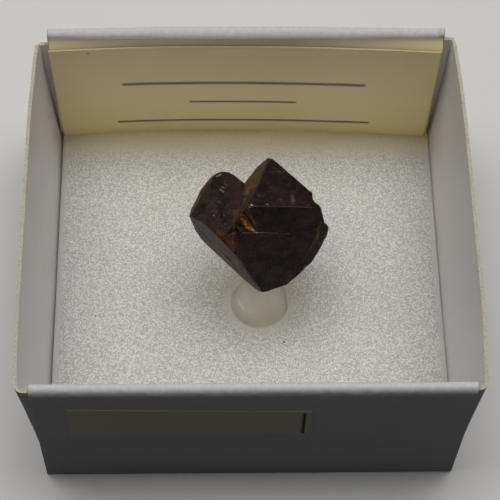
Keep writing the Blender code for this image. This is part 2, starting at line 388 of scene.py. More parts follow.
@dataclass(frozen=True)
class FoamFinish:
    """Pale packing foam whose cut cells glitter, partly as painted highlights, with painted shade in the cell
    valleys and painted warm bounce light from the label near the back; its rolled edges are smooth.
    """

    name: str = "foam_face"
    tone: Colour = (0.725, 0.703, 0.646)
    # darker tone of the valleys between the cells: painted shade
    hollow_shade: Colour = (0.415, 0.40, 0.365)
    # near white of the sparkling cells: a painted highlight; their low roughness adds real glints
    sparkle_highlight: Colour = (1.0, 0.985, 0.93)
    # yellow of the label's light bounced onto the foam near the back: painted reflected light
    warm: Colour = (0.88, 0.75, 0.47)
    smear: Colour = (0.93, 0.89, 0.77)
    cells_per_mm: float = 4.4
    lit_band: Band = (0.25, 0.75)
    core_band: Band = (0.2, 0.55)
    blob: Texture = Texture(6.2, 2.0, 0.6)
    blob_band: Band = (0.50, 0.60)
    blob_share: Band = (0.0, 0.92)
    worm: Texture = Texture(5.6, 3.0, 0.6)
    worm_middle: float = 0.5
    worm_band: Band = (0.0, 0.055)
    grain: Texture = Texture(6.0, 3.0, 0.6)
    grain_band: Band = (0.34, 0.66)
    label_bounce_depths: Band = (14.0, 19.4)
    smear_share: float = 0.55
    wall_band: Band = (0.0, 0.55)
    spark_band: Band = (0.0, 0.7)
    roughness: Band = (0.7, 0.14)
    specular: float = 0.6
    glow: float = 0.018
    glow_radius: Triple = (1.0, 0.95, 0.85)
    relief: Band = (0.10, 0.9)

    def hollows(self, wires: Wiring) -> Socket:
        """Gives the depth of the valleys between the cells, from 0 to 1."""
        worm = wires.math("ABSOLUTE", wires.math("SUBTRACT", wires.noise(self.worm), self.worm_middle))
        grain = wires.span(wires.noise(self.grain), self.grain_band)
        both = wires.math("ADD", wires.span(worm, self.worm_band, FALL), wires.math("SUBTRACT", 1.0, grain))
        return wires.times(both, 0.5)

    def make(self) -> bpy.types.Material:
        """Builds the material."""
        wires = Wiring(self.name)
        face = wires.mask("cut")
        chance, away = wires.cells(self.cells_per_mm)
        dots = wires.times(wires.span(chance, self.lit_band), wires.span(away, self.core_band, FALL))
        blob = wires.span(wires.noise(self.blob), self.blob_band, self.blob_share)
        sparkle_highlight = wires.times(wires.math("MAXIMUM", dots, blob), face)
        low = self.hollows(wires)
        # painted shade: the valleys between the cells are darkened
        colour = wires.mix(wires.times(low, face), self.tone, self.hollow_shade)
        # painted highlight: the sparkling cells turn near white
        colour = wires.mix(sparkle_highlight, colour, self.sparkle_highlight)
        # painted bounce light: the foam turns yellow towards the label at the back
        colour = wires.mix(wires.span(wires.axes()[1], self.label_bounce_depths), colour, self.warm)
        colour = wires.mix(wires.times(wires.mask("smear"), self.smear_share), colour, self.smear)
        walls = wires.span(away, self.wall_band, FALL)
        surface = wires.times(wires.math("SUBTRACT", walls, low), face)
        wires.scatter(self.glow, self.glow_radius)
        return wires.finish(
            Base_Color=colour, Roughness=wires.span(sparkle_highlight, self.spark_band, self.roughness),
            Specular_IOR_Level=self.specular, Normal=wires.bump(surface, self.relief),
        )


@dataclass(frozen=True)
class PegBeadHighlightFinish:
    """Glossy bead of the same glue, coloured paler than the peg as a painted highlight."""

    name: str = "peg_bead_highlight"
    tone: Colour = (1.0, 0.985, 0.92)
    dull: Colour = (0.97, 0.95, 0.87)
    cloud: Texture = Texture(2.0, 3.0)
    roughness: float = 0.35
    bending: float = 1.45

    def make(self) -> bpy.types.Material:
        """Builds the material."""
        wires = Wiring(self.name)
        colour = wires.mix(wires.span(wires.noise(self.cloud), MIDDLE), self.dull, self.tone)
        return wires.finish(Base_Color=colour, Roughness=self.roughness, IOR=self.bending)


@dataclass(frozen=True)
class PegFinish:
    """Hazy clear glue stick, slightly yellow, on a foot with a crust."""

    name: str = "peg_body"
    tone: Colour = (0.94, 0.89, 0.69)
    cloud: Colour = (0.93, 0.885, 0.81)
    skin: Colour = (1.0, 0.98, 0.86)
    hollow: Colour = (0.97, 0.93, 0.79)
    haze: Texture = Texture(0.7, 3.0)
    haze_heights: Band = (4.9, 5.8)
    haze_share: Band = (0.7, 1.0)
    crust: Texture = Texture(3.4, 3.0, 0.6)
    crust_band: Band = (0.42, 0.58)
    crust_heights: Band = (3.0, 3.7)
    lumps: Texture = Texture(0.9, 2.0)
    roughness: float = 0.4
    bending: float = 1.25
    clearness: float = 0.3
    glow: float = 0.014
    glow_radius: Triple = (1.0, 0.95, 0.8)
    relief: Band = (0.12, 0.4)

    def make(self) -> bpy.types.Material:
        """Builds the material."""
        wires = Wiring(self.name)
        height = wires.axes()[2]
        haze = wires.span(wires.noise(self.haze), MIDDLE, self.haze_share)
        colour = wires.mix(wires.times(wires.span(height, self.haze_heights), haze), self.tone, self.cloud)
        crust = wires.mix(wires.span(wires.noise(self.crust), self.crust_band), self.hollow, self.skin)
        colour = wires.mix(wires.span(height, self.crust_heights, FALL), colour, crust)
        wires.scatter(self.glow, self.glow_radius)
        return wires.finish(
            Base_Color=colour, Roughness=self.roughness, IOR=self.bending, Transmission_Weight=self.clearness,
            Normal=wires.bump(wires.noise(self.lumps), self.relief),
        )


@dataclass(frozen=True)
class PaperFinish:
    """Cream label paper with faint fibres and printed rules."""

    name: str
    tone: Colour
    warm: Colour
    ink: Colour = (0.012, 0.009, 0.006)
    bleached: Colour = (0.85, 0.83, 0.79)
    gloss: float = 0.0
    fade: Band | None = None
    fade_share: Band = (0.0, 0.35)
    cloud: Texture = Texture(0.09, 3.0)
    fibre: Texture = Texture(4.2, 5.0, 0.6)
    fibre_band: Band = (0.35, 0.7)
    fibre_share: Band = (0.0, 0.18)
    print_wear: Texture = Texture(6.0, 3.0)
    wear_band: Band = (0.22, 0.42)
    wear_share: Band = (0.75, 1.0)
    roughness: float = 0.38
    specular: float = 1.0
    gloss_roughness: float = 0.3
    relief: Band = (0.03, 0.4)

    def make(self) -> bpy.types.Material:
        """Builds the material."""
        wires = Wiring(self.name)
        fibre = wires.noise(self.fibre)
        colour = wires.mix(wires.span(wires.noise(self.cloud), MIDDLE), self.warm, self.tone)
        colour = wires.mix(wires.span(fibre, self.fibre_band, self.fibre_share), colour, self.warm)
        if self.fade:
            faded = wires.span(wires.axes()[2], self.fade, self.fade_share)
            colour = wires.mix(faded, colour, self.bleached)
        kept = wires.span(wires.noise(self.print_wear), self.wear_band, self.wear_share)
        colour = wires.mix(wires.times(wires.mask("ink"), kept), colour, self.ink)
        return wires.finish(
            Base_Color=colour, Roughness=self.roughness, Specular_IOR_Level=self.specular,
            Coat_Weight=self.gloss, Coat_Roughness=self.gloss_roughness, Normal=wires.bump(fibre, self.relief),
        )


@dataclass(frozen=True)
class PlainPaperEdge:
    """Core of the paper, seen at its cut edge."""

    name: str = "paper_edge"
    tone: Colour = (0.44, 0.395, 0.27)
    grey: Colour = (0.36, 0.32, 0.21)
    fleck: Texture = Texture(5.0)
    fleck_band: Band = (0.3, 0.6)
    fleck_share: Band = (0.75, 1.0)
    roughness: float = 0.9
    specular: float = 0.15

    def make(self) -> bpy.types.Material:
        """Builds the material."""
        wires = Wiring(self.name)
        fleck = wires.span(wires.noise(self.fleck), self.fleck_band, self.fleck_share)
        colour = wires.mix(fleck, self.grey, self.tone)
        return wires.finish(Base_Color=colour, Roughness=self.roughness, Specular_IOR_Level=self.specular)


@dataclass(frozen=True)
class MagnetiteFinish:
    """Dark brown-black ore: dull faces, mottled caps, a grey satin face, golden bevels and rust films, with
    painted highlights on its edges and some painted shade and light.
    """

    name: str = "magnetite_face"
    dark: Colour = (0.0118, 0.0072, 0.0056)
    brown: Colour = (0.0320, 0.0196, 0.0155)
    glitter: Colour = (0.062, 0.046, 0.042)
    pore: Colour = (0.006, 0.004, 0.004)
    cap: tuple[tuple[float, Colour], ...] = (
        (0.38, (0.0024, 0.0014, 0.0011)), (0.46, (0.0085, 0.0042, 0.0033)),
        (0.54, (0.0175, 0.0082, 0.0062)), (0.64, (0.0560, 0.0350, 0.0240)),
    )
    film: tuple[tuple[float, Colour], ...] = (
        (0.12, (0.016, 0.007, 0.004)), (0.40, (0.075, 0.027, 0.008)),
        (0.66, (0.260, 0.098, 0.022)), (0.95, (0.480, 0.260, 0.110)),
    )
    satin: Colour = (0.195, 0.150, 0.143)
    satin_dark: Colour = (0.026, 0.018, 0.017)
    # the darkest tint gives dark patches and, on some marks, painted shade; the brown tint also paints light
    # into shaded slits, and the red-purple one paints shade on a ledge
    tints: tuple[tuple[Stain, Colour], ...] = (
        (Stain.PLUM, (0.036, 0.0155, 0.0120)), (Stain.SLATE, (0.023, 0.026, 0.025)),
        (Stain.UMBER, (0.112, 0.058, 0.022)), (Stain.DARK_AND_SHADE, (0.004, 0.0028, 0.0026)),
    )
    # painted highlights: the glint colour lights crests, ledges and edges; the tan colour gives pale chips and
    # specks
    lights: tuple[tuple[Stain, Colour], ...] = (
        (Stain.TAN, (0.400, 0.280, 0.165)), (Stain.GLINT, (0.480, 0.410, 0.385)),
    )
    grain: Texture = Texture(5.0, 5.0, 0.65)
    blotch: Texture = Texture(0.7, 5.0, 0.6)
    blotch_band: Band = (0.36, 0.66)
    glitter_band: Band = (0.52, 0.66)
    glitter_share: Band = (0.0, 0.5)
    pore_band: Band = (0.34, 0.46)
    pore_share: Band = (0.55, 0.0)
    cap_cloud: Texture = Texture(1.5, 4.0, 0.62)
    cap_shares: Band = (0.62, 0.38)
    fleck: Texture = Texture(3.6, 5.0, 0.8)
    fleck_band: Band = (0.42, 0.60)
    fleck_shares: Band = (0.65, 0.35)
    satin_band: Band = (0.02, 0.2)
    grit_band: Band = (0.3, 0.62)
    grit_share: Band = (0.35, 1.0)
    rust: Texture = Texture(4.0, 4.0, 0.7)
    rust_band: Band = (0.3, 0.6)
    rust_share: Band = (0.6, 1.15)
    patch_band: Band = (0.10, 0.32)
    gloss: Texture = Texture(1.5)
    gloss_band: Band = (0.3, 0.7)
    roughness: Band = (0.42, 0.60)
    dulling: float = 0.28
    lumps: Texture = Texture(1.6, 5.0)
    lump_shares: Band = (0.4, 0.35)
    specular: float = 0.17
    relief: Band = (0.08, 0.6)

    def body(self, wires: Wiring, grain: Socket) -> Socket:
        """Colours the bare faces.

        Args:
            wires: The material's nodes.
            grain: Fine noise shared with the relief.

        Returns:
            The colour.
        """
        plain = wires.mix(wires.span(wires.noise(self.blotch), self.blotch_band), self.dark, self.brown)
        plain = wires.mix(wires.span(grain, self.glitter_band, self.glitter_share), plain, self.glitter)
        plain = wires.mix(wires.span(grain, self.pore_band, self.pore_share), plain, self.pore)
        mottle = wires.ramp(wires.weigh(wires.noise(self.cap_cloud), grain, self.cap_shares), self.cap)
        colour = wires.mix(wires.mask(Stain.ROUGH.value), plain, mottle)
        satin = wires.mask(Stain.SATIN.value)
        fleck = wires.span(wires.noise(self.fleck), self.fleck_band)
        grey = wires.mix(wires.weigh(fleck, satin, self.fleck_shares), self.satin_dark, self.satin)
        return wires.mix(wires.span(satin, self.satin_band), colour, grey)

    def make(self) -> bpy.types.Material:
        """Builds the material."""
        wires = Wiring(self.name)
        grain = wires.noise(self.grain)
        colour = self.body(wires, grain)
        grit = wires.span(grain, self.grit_band, self.grit_share)
        for stain, tint in self.tints:
            colour = wires.mix(wires.times(wires.mask(stain.value), grit), colour, tint)
        rust = wires.mask(Stain.RUST.value)
        value = wires.times(rust, wires.span(wires.noise(self.rust), self.rust_band, self.rust_share))
        patch = wires.span(rust, self.patch_band)
        colour = wires.mix(patch, colour, wires.ramp(value, self.film))
        for stain, tint in self.lights:
            colour = wires.mix(wires.mask(stain.value), colour, tint)
        gloss = wires.span(wires.noise(self.gloss), self.gloss_band, self.roughness)
        dull = wires.times(wires.math("MAXIMUM", wires.mask(Stain.ROUGH.value), patch), self.dulling)
        surface = wires.weigh(grain, wires.noise(self.lumps), self.lump_shares)
        return wires.finish(
            Base_Color=colour, Roughness=wires.math("ADD", gloss, dull), Specular_IOR_Level=self.specular,
            Normal=wires.bump(surface, self.relief),
        )


@dataclass(frozen=True)
class GrainFinish:
    """A loose grain or chip of one colour with mottling."""

    name: str
    tone: Colour
    dark: Colour
    mottle: Texture = Texture(9.0, 3.0)
    roughness: float = 0.6

    def make(self) -> bpy.types.Material:
        """Builds the material."""
        wires = Wiring(self.name)
        colour = wires.mix(wires.span(wires.noise(self.mottle), MIDDLE), self.dark, self.tone)
        return wires.finish(Base_Color=colour, Roughness=self.roughness)


def smooth(value: np.ndarray | float, low: float, high: float) -> np.ndarray | float:
    """Smooth step from 0 at low to 1 at high."""
    share = np.clip((value - low) / (high - low), 0.0, 1.0)
    return share * share * (3.0 - 2.0 * share)


def wander(x: float, y: float = 0.0, z: float = 0.0) -> float:
    """Smooth noise of about -1 to 1 at a place."""
    return noise.noise(Vector((x, y, z)))


@dataclass(frozen=True)
class Ripple:
    """A gentle unevenness: its depth in millimetres, its waves along each measure, and which one it is."""

    depth: float
    paces: tuple[float, ...]
    pick: tuple[float, ...] = ()

    def at(self, *measures: float) -> float:
        """Offset in millimetres at a place."""
        return self.depth * wander(*(measure * pace for measure, pace in zip(measures, self.paces)), *self.pick)


def new_piece(
    name: str, points: Iterable[Sequence[float]], faces: Iterable[Sequence[int]],
    materials: Iterable[bpy.types.Material],
) -> bpy.types.Object:
    """Makes a mesh object from points in millimetres and links it to the scene.

    Args:
        name: Name of the piece.
        points: Points in millimetres.
        faces: Point indices of each face.
        materials: Materials of its slots, in order.

    Returns:
        The new object.
    """
    mesh = bpy.data.meshes.new(name)
    places = [tuple(value * MM for value in point) for point in points]
    mesh.from_pydata(places, [], [tuple(face) for face in faces])
    for material in materials:
        mesh.materials.append(material)
    mesh.update()
    piece = bpy.data.objects.new(name, mesh)
    bpy.context.scene.collection.objects.link(piece)
    return piece


def settle(piece: bpy.types.Object, slot: str, *nodes: str) -> bpy.types.Object:
    """Fixes a piece to the part and hides the solids it stands for.

    Args:
        piece: The finished piece.
        slot: The record's material slot; not used.
        nodes: Solids that the piece replaces.

    Returns:
        The same piece.
    """
    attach(piece, BODY)
    if nodes:
        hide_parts(*nodes)
    LOG.info("%s: %d faces", piece.name, len(piece.data.polygons))
    return piece


def shade(piece: bpy.types.Object, angle: float) -> None:
    """Shades a piece smooth, with edges sharper than angle degrees kept."""
    piece.data.shade_smooth()
    piece.data.set_sharp_from_angle(angle=math.radians(angle))


def turn_out(piece: bpy.types.Object) -> None:
    """Makes a closed piece's faces point outward."""
    bm = bmesh.new()
    bm.from_mesh(piece.data)
    bmesh.ops.recalc_face_normals(bm, faces=bm.faces[:])
    bm.to_mesh(piece.data)
    bm.free()


def apply_modifiers(piece: bpy.types.Object) -> None:
    """Replaces a piece's mesh with its evaluated form and drops its modifiers."""
    graph = bpy.context.evaluated_depsgraph_get()
    evaluated = piece.evaluated_get(graph)
    mesh = bpy.data.meshes.new_from_object(evaluated, preserve_all_data_layers=True, depsgraph=graph)
    old = piece.data
    name = old.name
    piece.modifiers.clear()
    piece.data = mesh
    bpy.data.meshes.remove(old)
    mesh.name = name


def thicken(piece: bpy.types.Object, thickness: float) -> None:
    """Gives a sheet its thickness in millimetres; its rim takes the second material."""
    solid = piece.modifiers.new("sheet", "SOLIDIFY")
    solid.thickness = thickness * MM
    solid.offset = 0.0
    solid.material_offset_rim = 1
    apply_modifiers(piece)


def set_mask(mesh: bpy.types.Mesh, name: str, values: Sequence[float]) -> None:
    """Stores one value for each point of a mesh under a name."""
    layer = mesh.attributes.new(name, "FLOAT", "POINT")
    layer.data.foreach_set("value", np.asarray(values, dtype=np.float32))


def grid_faces(columns: int, rows: int, wrap: bool = False) -> list[tuple[int, ...]]:
    """Faces of a grid of points that is stored row by row.

    Args:
        columns: Points in a row.
        rows: Number of rows.
        wrap: Whether the last column joins the first.

    Returns:
        The faces.
    """
    faces = []
    for row in range(rows - 1):
        for column in range(columns if wrap else columns - 1):
            after = (column + 1) % columns
            low, high = row * columns, (row + 1) * columns
            faces.append((low + column, low + after, high + after, high + column))
    return faces


@dataclass
class Eye:
    """The photograph's point of view, in millimetres and pixels."""

    place: Triple = (-4.065, -81.122, 156.143)
    right: Triple = (0.999676, -0.015701, 0.020053)
    up: Triple = (0.004005, 0.874482, 0.485041)
    focal: float = 1601.84
    sensor: float = 36.0
    nearest: float = 0.005
    farthest: float = 20.0

    def direction(self, pixel: Pixel) -> Vector:
        """Gives the unit direction through a pixel."""
        right, up = Vector(self.right), Vector(self.up)
        ahead = up.cross(right)
        across = (pixel[0] - IMAGE_SIZE / 2) / self.focal
        rise = (IMAGE_SIZE / 2 - pixel[1]) / self.focal
        return (ahead + right * across + up * rise).normalized()

    def land(self, tree: BVHTree, pixel: Pixel) -> tuple[Vector, Vector] | None:
        """Finds where a pixel's line of sight meets a mesh.

        Args:
            tree: The mesh's search tree, in metres.
            pixel: The pixel.

        Returns:
            The point and the normal there, or None where it misses.
        """
        point, normal, _, _ = tree.ray_cast(Vector(self.place) * MM, self.direction(pixel))
        return (point, normal) if point is not None else None

    def camera(self) -> bpy.types.Object:
        """Makes the scene's camera."""
        data = bpy.data.cameras.new("photo_view")
        data.sensor_width = self.sensor
        data.lens = self.sensor * self.focal / IMAGE_SIZE
        data.clip_start = self.nearest
        data.clip_end = self.farthest
        item = bpy.data.objects.new("photo_view", data)
        right, up = Vector(self.right), Vector(self.up)
        turn = Matrix((right, up, right.cross(up))).transposed().to_4x4()
        item.matrix_world = Matrix.Translation(Vector(self.place) * MM) @ turn
        bpy.context.scene.collection.objects.link(item)
        bpy.context.scene.camera = item
        return item


@dataclass(frozen=True)
class SideForm:
    """Form of one side wall: its reach at the floor, outward lean, run of the bends and torn back corner.

    The lean is given at the front, middle and back; the blend and the corner radii at the front and back.
    """

    foot: float
    lean: Triple
    blend: Band
    back_drop: float
    corners: Band


@dataclass
class CardTray:
    """The folding card tray: two double walls, two single side walls with corner flaps, and the floor."""

    panel_half: float = 20.9
    depth_half: float = 20.93
    rim: float = 20.49
    double: float = 1.15
    shoulder: float = 1.0
    card: float = 0.36
    foot: float = 0.1
    side_height: float = 19.85
    left: SideForm = SideForm(20.95, (1.38, 1.64, 1.2), (8.0, 12.0), 1.25, (0.8, 0.22))
    right: SideForm = SideForm(21.15, (0.75, 1.2, 0.77), (10.0, 12.0), 0.35, (0.8, 0.22))
    front_ends: Band = (-20.92, 20.92)
    back_ends: Band = (-20.98, 20.74)
    lean_powers: Triple = (1.6, 0.75, 0.6)
    front_flap: float = 20.38
    back_flap: float = 20.15
    flap_length: float = 1.8
    face_rows: int = 22
    bend_steps: int = 12
    lining_rows: int = 12
    fold_stations: int = 280
    end_bevel: float = 0.07
    end_mark: float = 0.08
    end_inset: float = 0.3
    fold_zone: Band = (18.5, 20.2)
    rises: tuple[Ripple, ...] = (Ripple(0.05, (0.16, 3.0)), Ripple(0.03, (0.9, 7.0)))
    sway: Ripple = Ripple(0.035, (0.12, 0.15, 5.0))
    fold_sways: tuple[Ripple, ...] = (Ripple(0.03, (1.1, 1.6, 2.0)), Ripple(0.015, (2.8, 3.0)))
    horn: float = 0.24
    horn_run: Band = (19.9, 20.5)
    bulge: float = 0.30
    bulge_heights: Band = (2.0, 20.0)
    back_sway: float = 0.06
    back_dip: float = 0.02
    back_arch: float = 0.05
    corner_steps: int = 8
    wall_steps: int = 90
    side_rows: int = 34
    bow: Ripple = Ripple(0.03, (0.2, 0.2, 4.0))
    corner_run: Band = (18.9, 19.9)
    torn_run: Band = (18.9, 19.6)
    corner_light_run: Band = (17.6, 19.2)
    wall_reach: float = 19.8
    corner_reach: float = 0.2
    rim_wave: Ripple = Ripple(0.03, (0.25, 1.0))
    seam_depth: float = 0.48
    seam_wave: Ripple = Ripple(0.04, (0.7, 1.0))
    seam_widths: Band = (0.04, 0.13)
    seam_strength: float = 0.55
    fray_reach: float = 0.12
    fray: Band = (0.015, 0.10)
    fray_even: float = 0.4
    fray_chips: Ripple = Ripple(0.6, (3.1, 3.1), (2.0,))
    fray_sides: Ripple = Ripple(0.5, (4.0, 4.0), (9.0,))
    floor_inset: float = 0.15
    floor_cells: int = 24
    floor_profile: tuple[Band, ...] = ((-0.3, 0.5), (0.0, 0.5), (0.0, 0.16), (-0.05, 0.05), (-0.16, 0.0))
    fold_crease: float = 50.0
    side_crease: float = 40.0
    face: CardFinish = field(default_factory=CardFinish)
    edge: CardEdgeFinish = field(default_factory=CardEdgeFinish)

    def fold_profile(self) -> list[Band]:
        """Outline of a double wall as depth in from the outer face and height."""
        radius = self.double / 2
        low = self.rim - self.shoulder
        face = np.linspace(0.0, low - self.foot, self.face_rows)
        outline = [(0.0, self.foot + height) for height in face]
        for step in range(1, self.bend_steps):
            angle = math.pi * step / self.bend_steps
            reach = self.shoulder if 2 * step < self.bend_steps else radius
            outline.append((radius - radius * math.cos(angle), self.rim - reach + reach * math.sin(angle)))
        lining = np.linspace(self.rim - radius, self.foot, self.lining_rows)
        return outline + [(self.double, height) for height in lining]

    def fold_wobble(self, side: int, x: float, height: float) -> Band:
        """Unevenness of a double wall at a place.

        Args:
            side: The front wall at -1 or the back wall at 1.
            x: Place along the wall.
            height: Height.

        Returns:
            How far it stands outward, and how far up.
        """
        near_top = float(smooth(height, *self.fold_zone))
        rise = sum(ripple.at(x, side) * near_top for ripple in self.rises)
        fine = sum(ripple.at(x, height, side) for ripple in self.fold_sways)
        sway = self.sway.at(x, height, side) + fine * near_top
        if side < 0:
            return sway, min(rise, 0.0)
        arch = 1.0 - (x / self.panel_half) ** 2
        rise += self.horn * float(smooth(x, *self.horn_run)) * near_top
        sway += self.bulge * max(arch, 0.0) * float(smooth(height, *self.bulge_heights))
        return sway + self.back_sway * near_top, rise - (self.back_dip - self.back_arch * arch) * near_top

    def double_wall(self, name: str, side: int, materials: list[bpy.types.Material]) -> bpy.types.Object:
        """Builds the front wall at side -1 or the back wall at side 1.

        Args:
            name: Name of the piece.
            side: Which wall.
            materials: Card face and card edge.

        Returns:
            The wall.
        """
        outline = self.fold_profile()
        columns = len(outline)
        left, right = self.front_ends if side < 0 else self.back_ends
        inner = np.linspace(left + self.end_inset, right - self.end_inset, self.fold_stations)
        stations = [left, left + self.end_bevel, *inner, right - self.end_bevel, right]
        middle = self.double / 2
        points = []
        for index, x in enumerate(stations):
            tight = self.end_bevel if index in (0, len(stations) - 1) else 0.0
            for depth, height in outline:
                inset = depth + math.copysign(tight, middle - depth)
                sway, rise = self.fold_wobble(side, x, height)
                drop = tight if height > self.rim - middle else 0.0
                y = side * (self.depth_half - inset + sway * (1.0 - depth / self.double) ** 0.5)
                points.append((x, y, height + rise - drop))
        faces = grid_faces(columns, len(stations), wrap=True)
        last = (len(stations) - 1) * columns
        faces.append(tuple(reversed(range(columns))))
        faces.append(tuple(last + step for step in range(columns)))
        wall = new_piece(name, points, faces, materials)
        for polygon in wall.data.polygons:
            if not left + self.end_mark < polygon.center.x / MM < right - self.end_mark:
                polygon.material_index = 1
        turn_out(wall)
        shade(wall, self.fold_crease)
        return wall

    def reach(self, y: float, z: float, form: SideForm) -> float:
        """Distance of the middle of a side wall's card from X = 0.

        Args:
            y: Place along the wall.
            z: Height.
            form: Form of the wall.

        Returns:
            The distance.
        """
        height = max(z, 0.0) / self.side_height
        front, middle, back = (amount * height ** power for amount, power in zip(form.lean, self.lean_powers))
        ends = ((front, self.front_flap, form.blend[0]), (back, self.back_flap, form.blend[1]))
        end, flap, blend = ends[int(y >= 0)]
        run = min(1.0, max(0.0, (flap - abs(y)) / blend))
        return form.foot - self.card / 2 + end + (middle - end) * math.sin(run * math.pi / 2)

    def stations(self) -> list[tuple[Run, int, float]]:
        """Stations along a side wall from its front flap to its back flap."""
        bends = [step / self.corner_steps for step in range(1, self.corner_steps)]
        shares = (step / self.wall_steps for step in range(self.wall_steps + 1))
        steps = [(Run.FLAP, -1, 1.0), (Run.FLAP, -1, 0.5), (Run.FLAP, -1, 0.0)]
        steps += [(Run.CORNER, -1, bend) for bend in bends]
        steps += [(Run.WALL, 0, math.sin((share - 0.5) * math.pi)) for share in shares]
        steps += [(Run.CORNER, 1, bend) for bend in reversed(bends)]
        return steps + [(Run.FLAP, 1, 0.0), (Run.FLAP, 1, 0.5), (Run.FLAP, 1, 1.0)]

    def plan(self, station: tuple[Run, int, float], z: float, form: SideForm) -> Band:
        """Plan position of a station at a height.

        Args:
            station: Stretch, end and amount.
            z: Height.
            form: Form of the wall.

        Returns:
            Distance out from X = 0, and Y.
        """
        run, end, amount = station
        back = int((amount if run is Run.WALL else end) > 0)
        radius = form.corners[back]
        limit = (self.front_flap, self.back_flap)[back]
        if run is Run.WALL:
            along = amount * (limit - radius)
            return self.reach(along, z, form), along
        out = self.reach(end * (limit - radius), z, form) - radius
        if run is Run.FLAP:
            return out - amount * self.flap_length, end * limit
        angle = amount * math.pi / 2
        return out + radius * math.sin(angle), end * (limit - radius * (1 - math.cos(angle)))

    def side_wall(self, name: str, side: int, materials: list[bpy.types.Material]) -> bpy.types.Object:
        """Builds a side wall at side -1 or 1, with its corners and flaps.

        Args:
            name: Name of the piece.
            side: Which wall.
            materials: Card face and card edge.

        Returns:
            The wall.
        """
        form = self.left if side < 0 else self.right
        steps = self.stations()
        points = []
        for row in range(self.side_rows):
            for station in steps:
                top = self.rim_height(form, station)
                z = self.foot + (top - self.foot) * row / (self.side_rows - 1)
                across, along = self.plan(station, z, form)
                points.append((side * (across + self.bow.at(along, z, side)), along, z))
        wall = new_piece(name, points, grid_faces(len(steps), self.side_rows), materials)
        if side > 0:
            wall.data.flip_normals()
        thicken(wall, self.card)
        turn_out(wall)
        places = [vert.co / MM for vert in wall.data.vertices]
        set_mask(wall.data, "seam_shade", [self.seam_shade(place, form) for place in places])
        # painted light mask: the back corners of the side walls, where shade gathers
        set_mask(wall.data, "corner", [float(smooth(place.y, *self.corner_light_run)) for place in places])
        self.roughen_rim(wall, form)
        shade(wall, self.side_crease)
        return wall

    def seam_shade(self, place: Vector, form: SideForm) -> float:
        """How dark the painted shade line in the gap at a back corner is at a place in millimetres."""
        line = self.back_flap - self.seam_depth + self.seam_wave.at(place.z, form.foot)
        return self.seam_strength * float(1.0 - smooth(abs(place.y - line), *self.seam_widths))

    def rim_height(self, form: SideForm, station: tuple[Run, int, float]) -> float:
        """Height of a side wall's top edge at a station."""
        run, end, amount = station
        if run is Run.WALL:
            along = amount * self.wall_reach
        else:
            along = end * (self.wall_reach + amount * self.corner_reach)
        drop = form.back_drop * float(smooth(along, *self.corner_run))
        return self.side_height - self.rim_wave.depth + self.rim_wave.at(along, form.foot) - drop

    def roughen_rim(self, wall: bpy.types.Object, form: SideForm) -> None:
        """Frays the raw top edge, most of all at the back corner."""
        for vert in wall.data.vertices:
            x, y = vert.co.x / MM, vert.co.y / MM
            low = self.side_height - self.fray_reach - form.back_drop * float(smooth(y, *self.corner_run))
            if vert.co.z >= low * MM:
                amount = self.fray[0] + self.fray[1] * float(smooth(y, *self.torn_run))
                vert.co.z -= (self.fray_even + self.fray_chips.at(x, y)) * amount * MM
                vert.co.y += self.fray_sides.at(x, y) * amount * MM

    def floor(self, materials: list[bpy.types.Material]) -> bpy.types.Object:
        """Builds the tray's floor with rounded lower folds."""
        half = (self.panel_half - self.floor_inset, self.depth_half - self.floor_inset)
        count = self.floor_cells * 4
        points, faces = [], []
        for inset, height in self.floor_profile:
            for step in range(count):
                share = step % self.floor_cells / self.floor_cells * 2 - 1
                corners = ((share, -1), (1, share), (-share, 1), (-1, -share))
                across, along = corners[step // self.floor_cells]
                points.append((across * (half[0] + inset), along * (half[1] + inset), height))
        for lower in range(0, len(points) - count, count):
            for step in range(count):
                after = (step + 1) % count
                faces.append((lower + step, lower + count + step, lower + count + after, lower + after))
        faces.append(tuple(range(count)))
        faces.append(tuple(reversed(range(len(points) - count, len(points)))))
        base = new_piece("tray_floor", points, faces, materials)
        turn_out(base)
        shade(base, self.fold_crease)
        return base

    def build(self) -> None:
        """Builds and dresses the whole tray."""
        materials = [self.face.make(), self.edge.make()]
        settle(self.double_wall("tray_front_wall", -1, materials), "card", "card_box")
        settle(self.double_wall("tray_back_wall", 1, materials), "card")
        settle(self.side_wall("tray_left_wall", -1, materials), "card")
        settle(self.side_wall("tray_right_wall", 1, materials), "card")
        settle(self.floor(materials), "card")


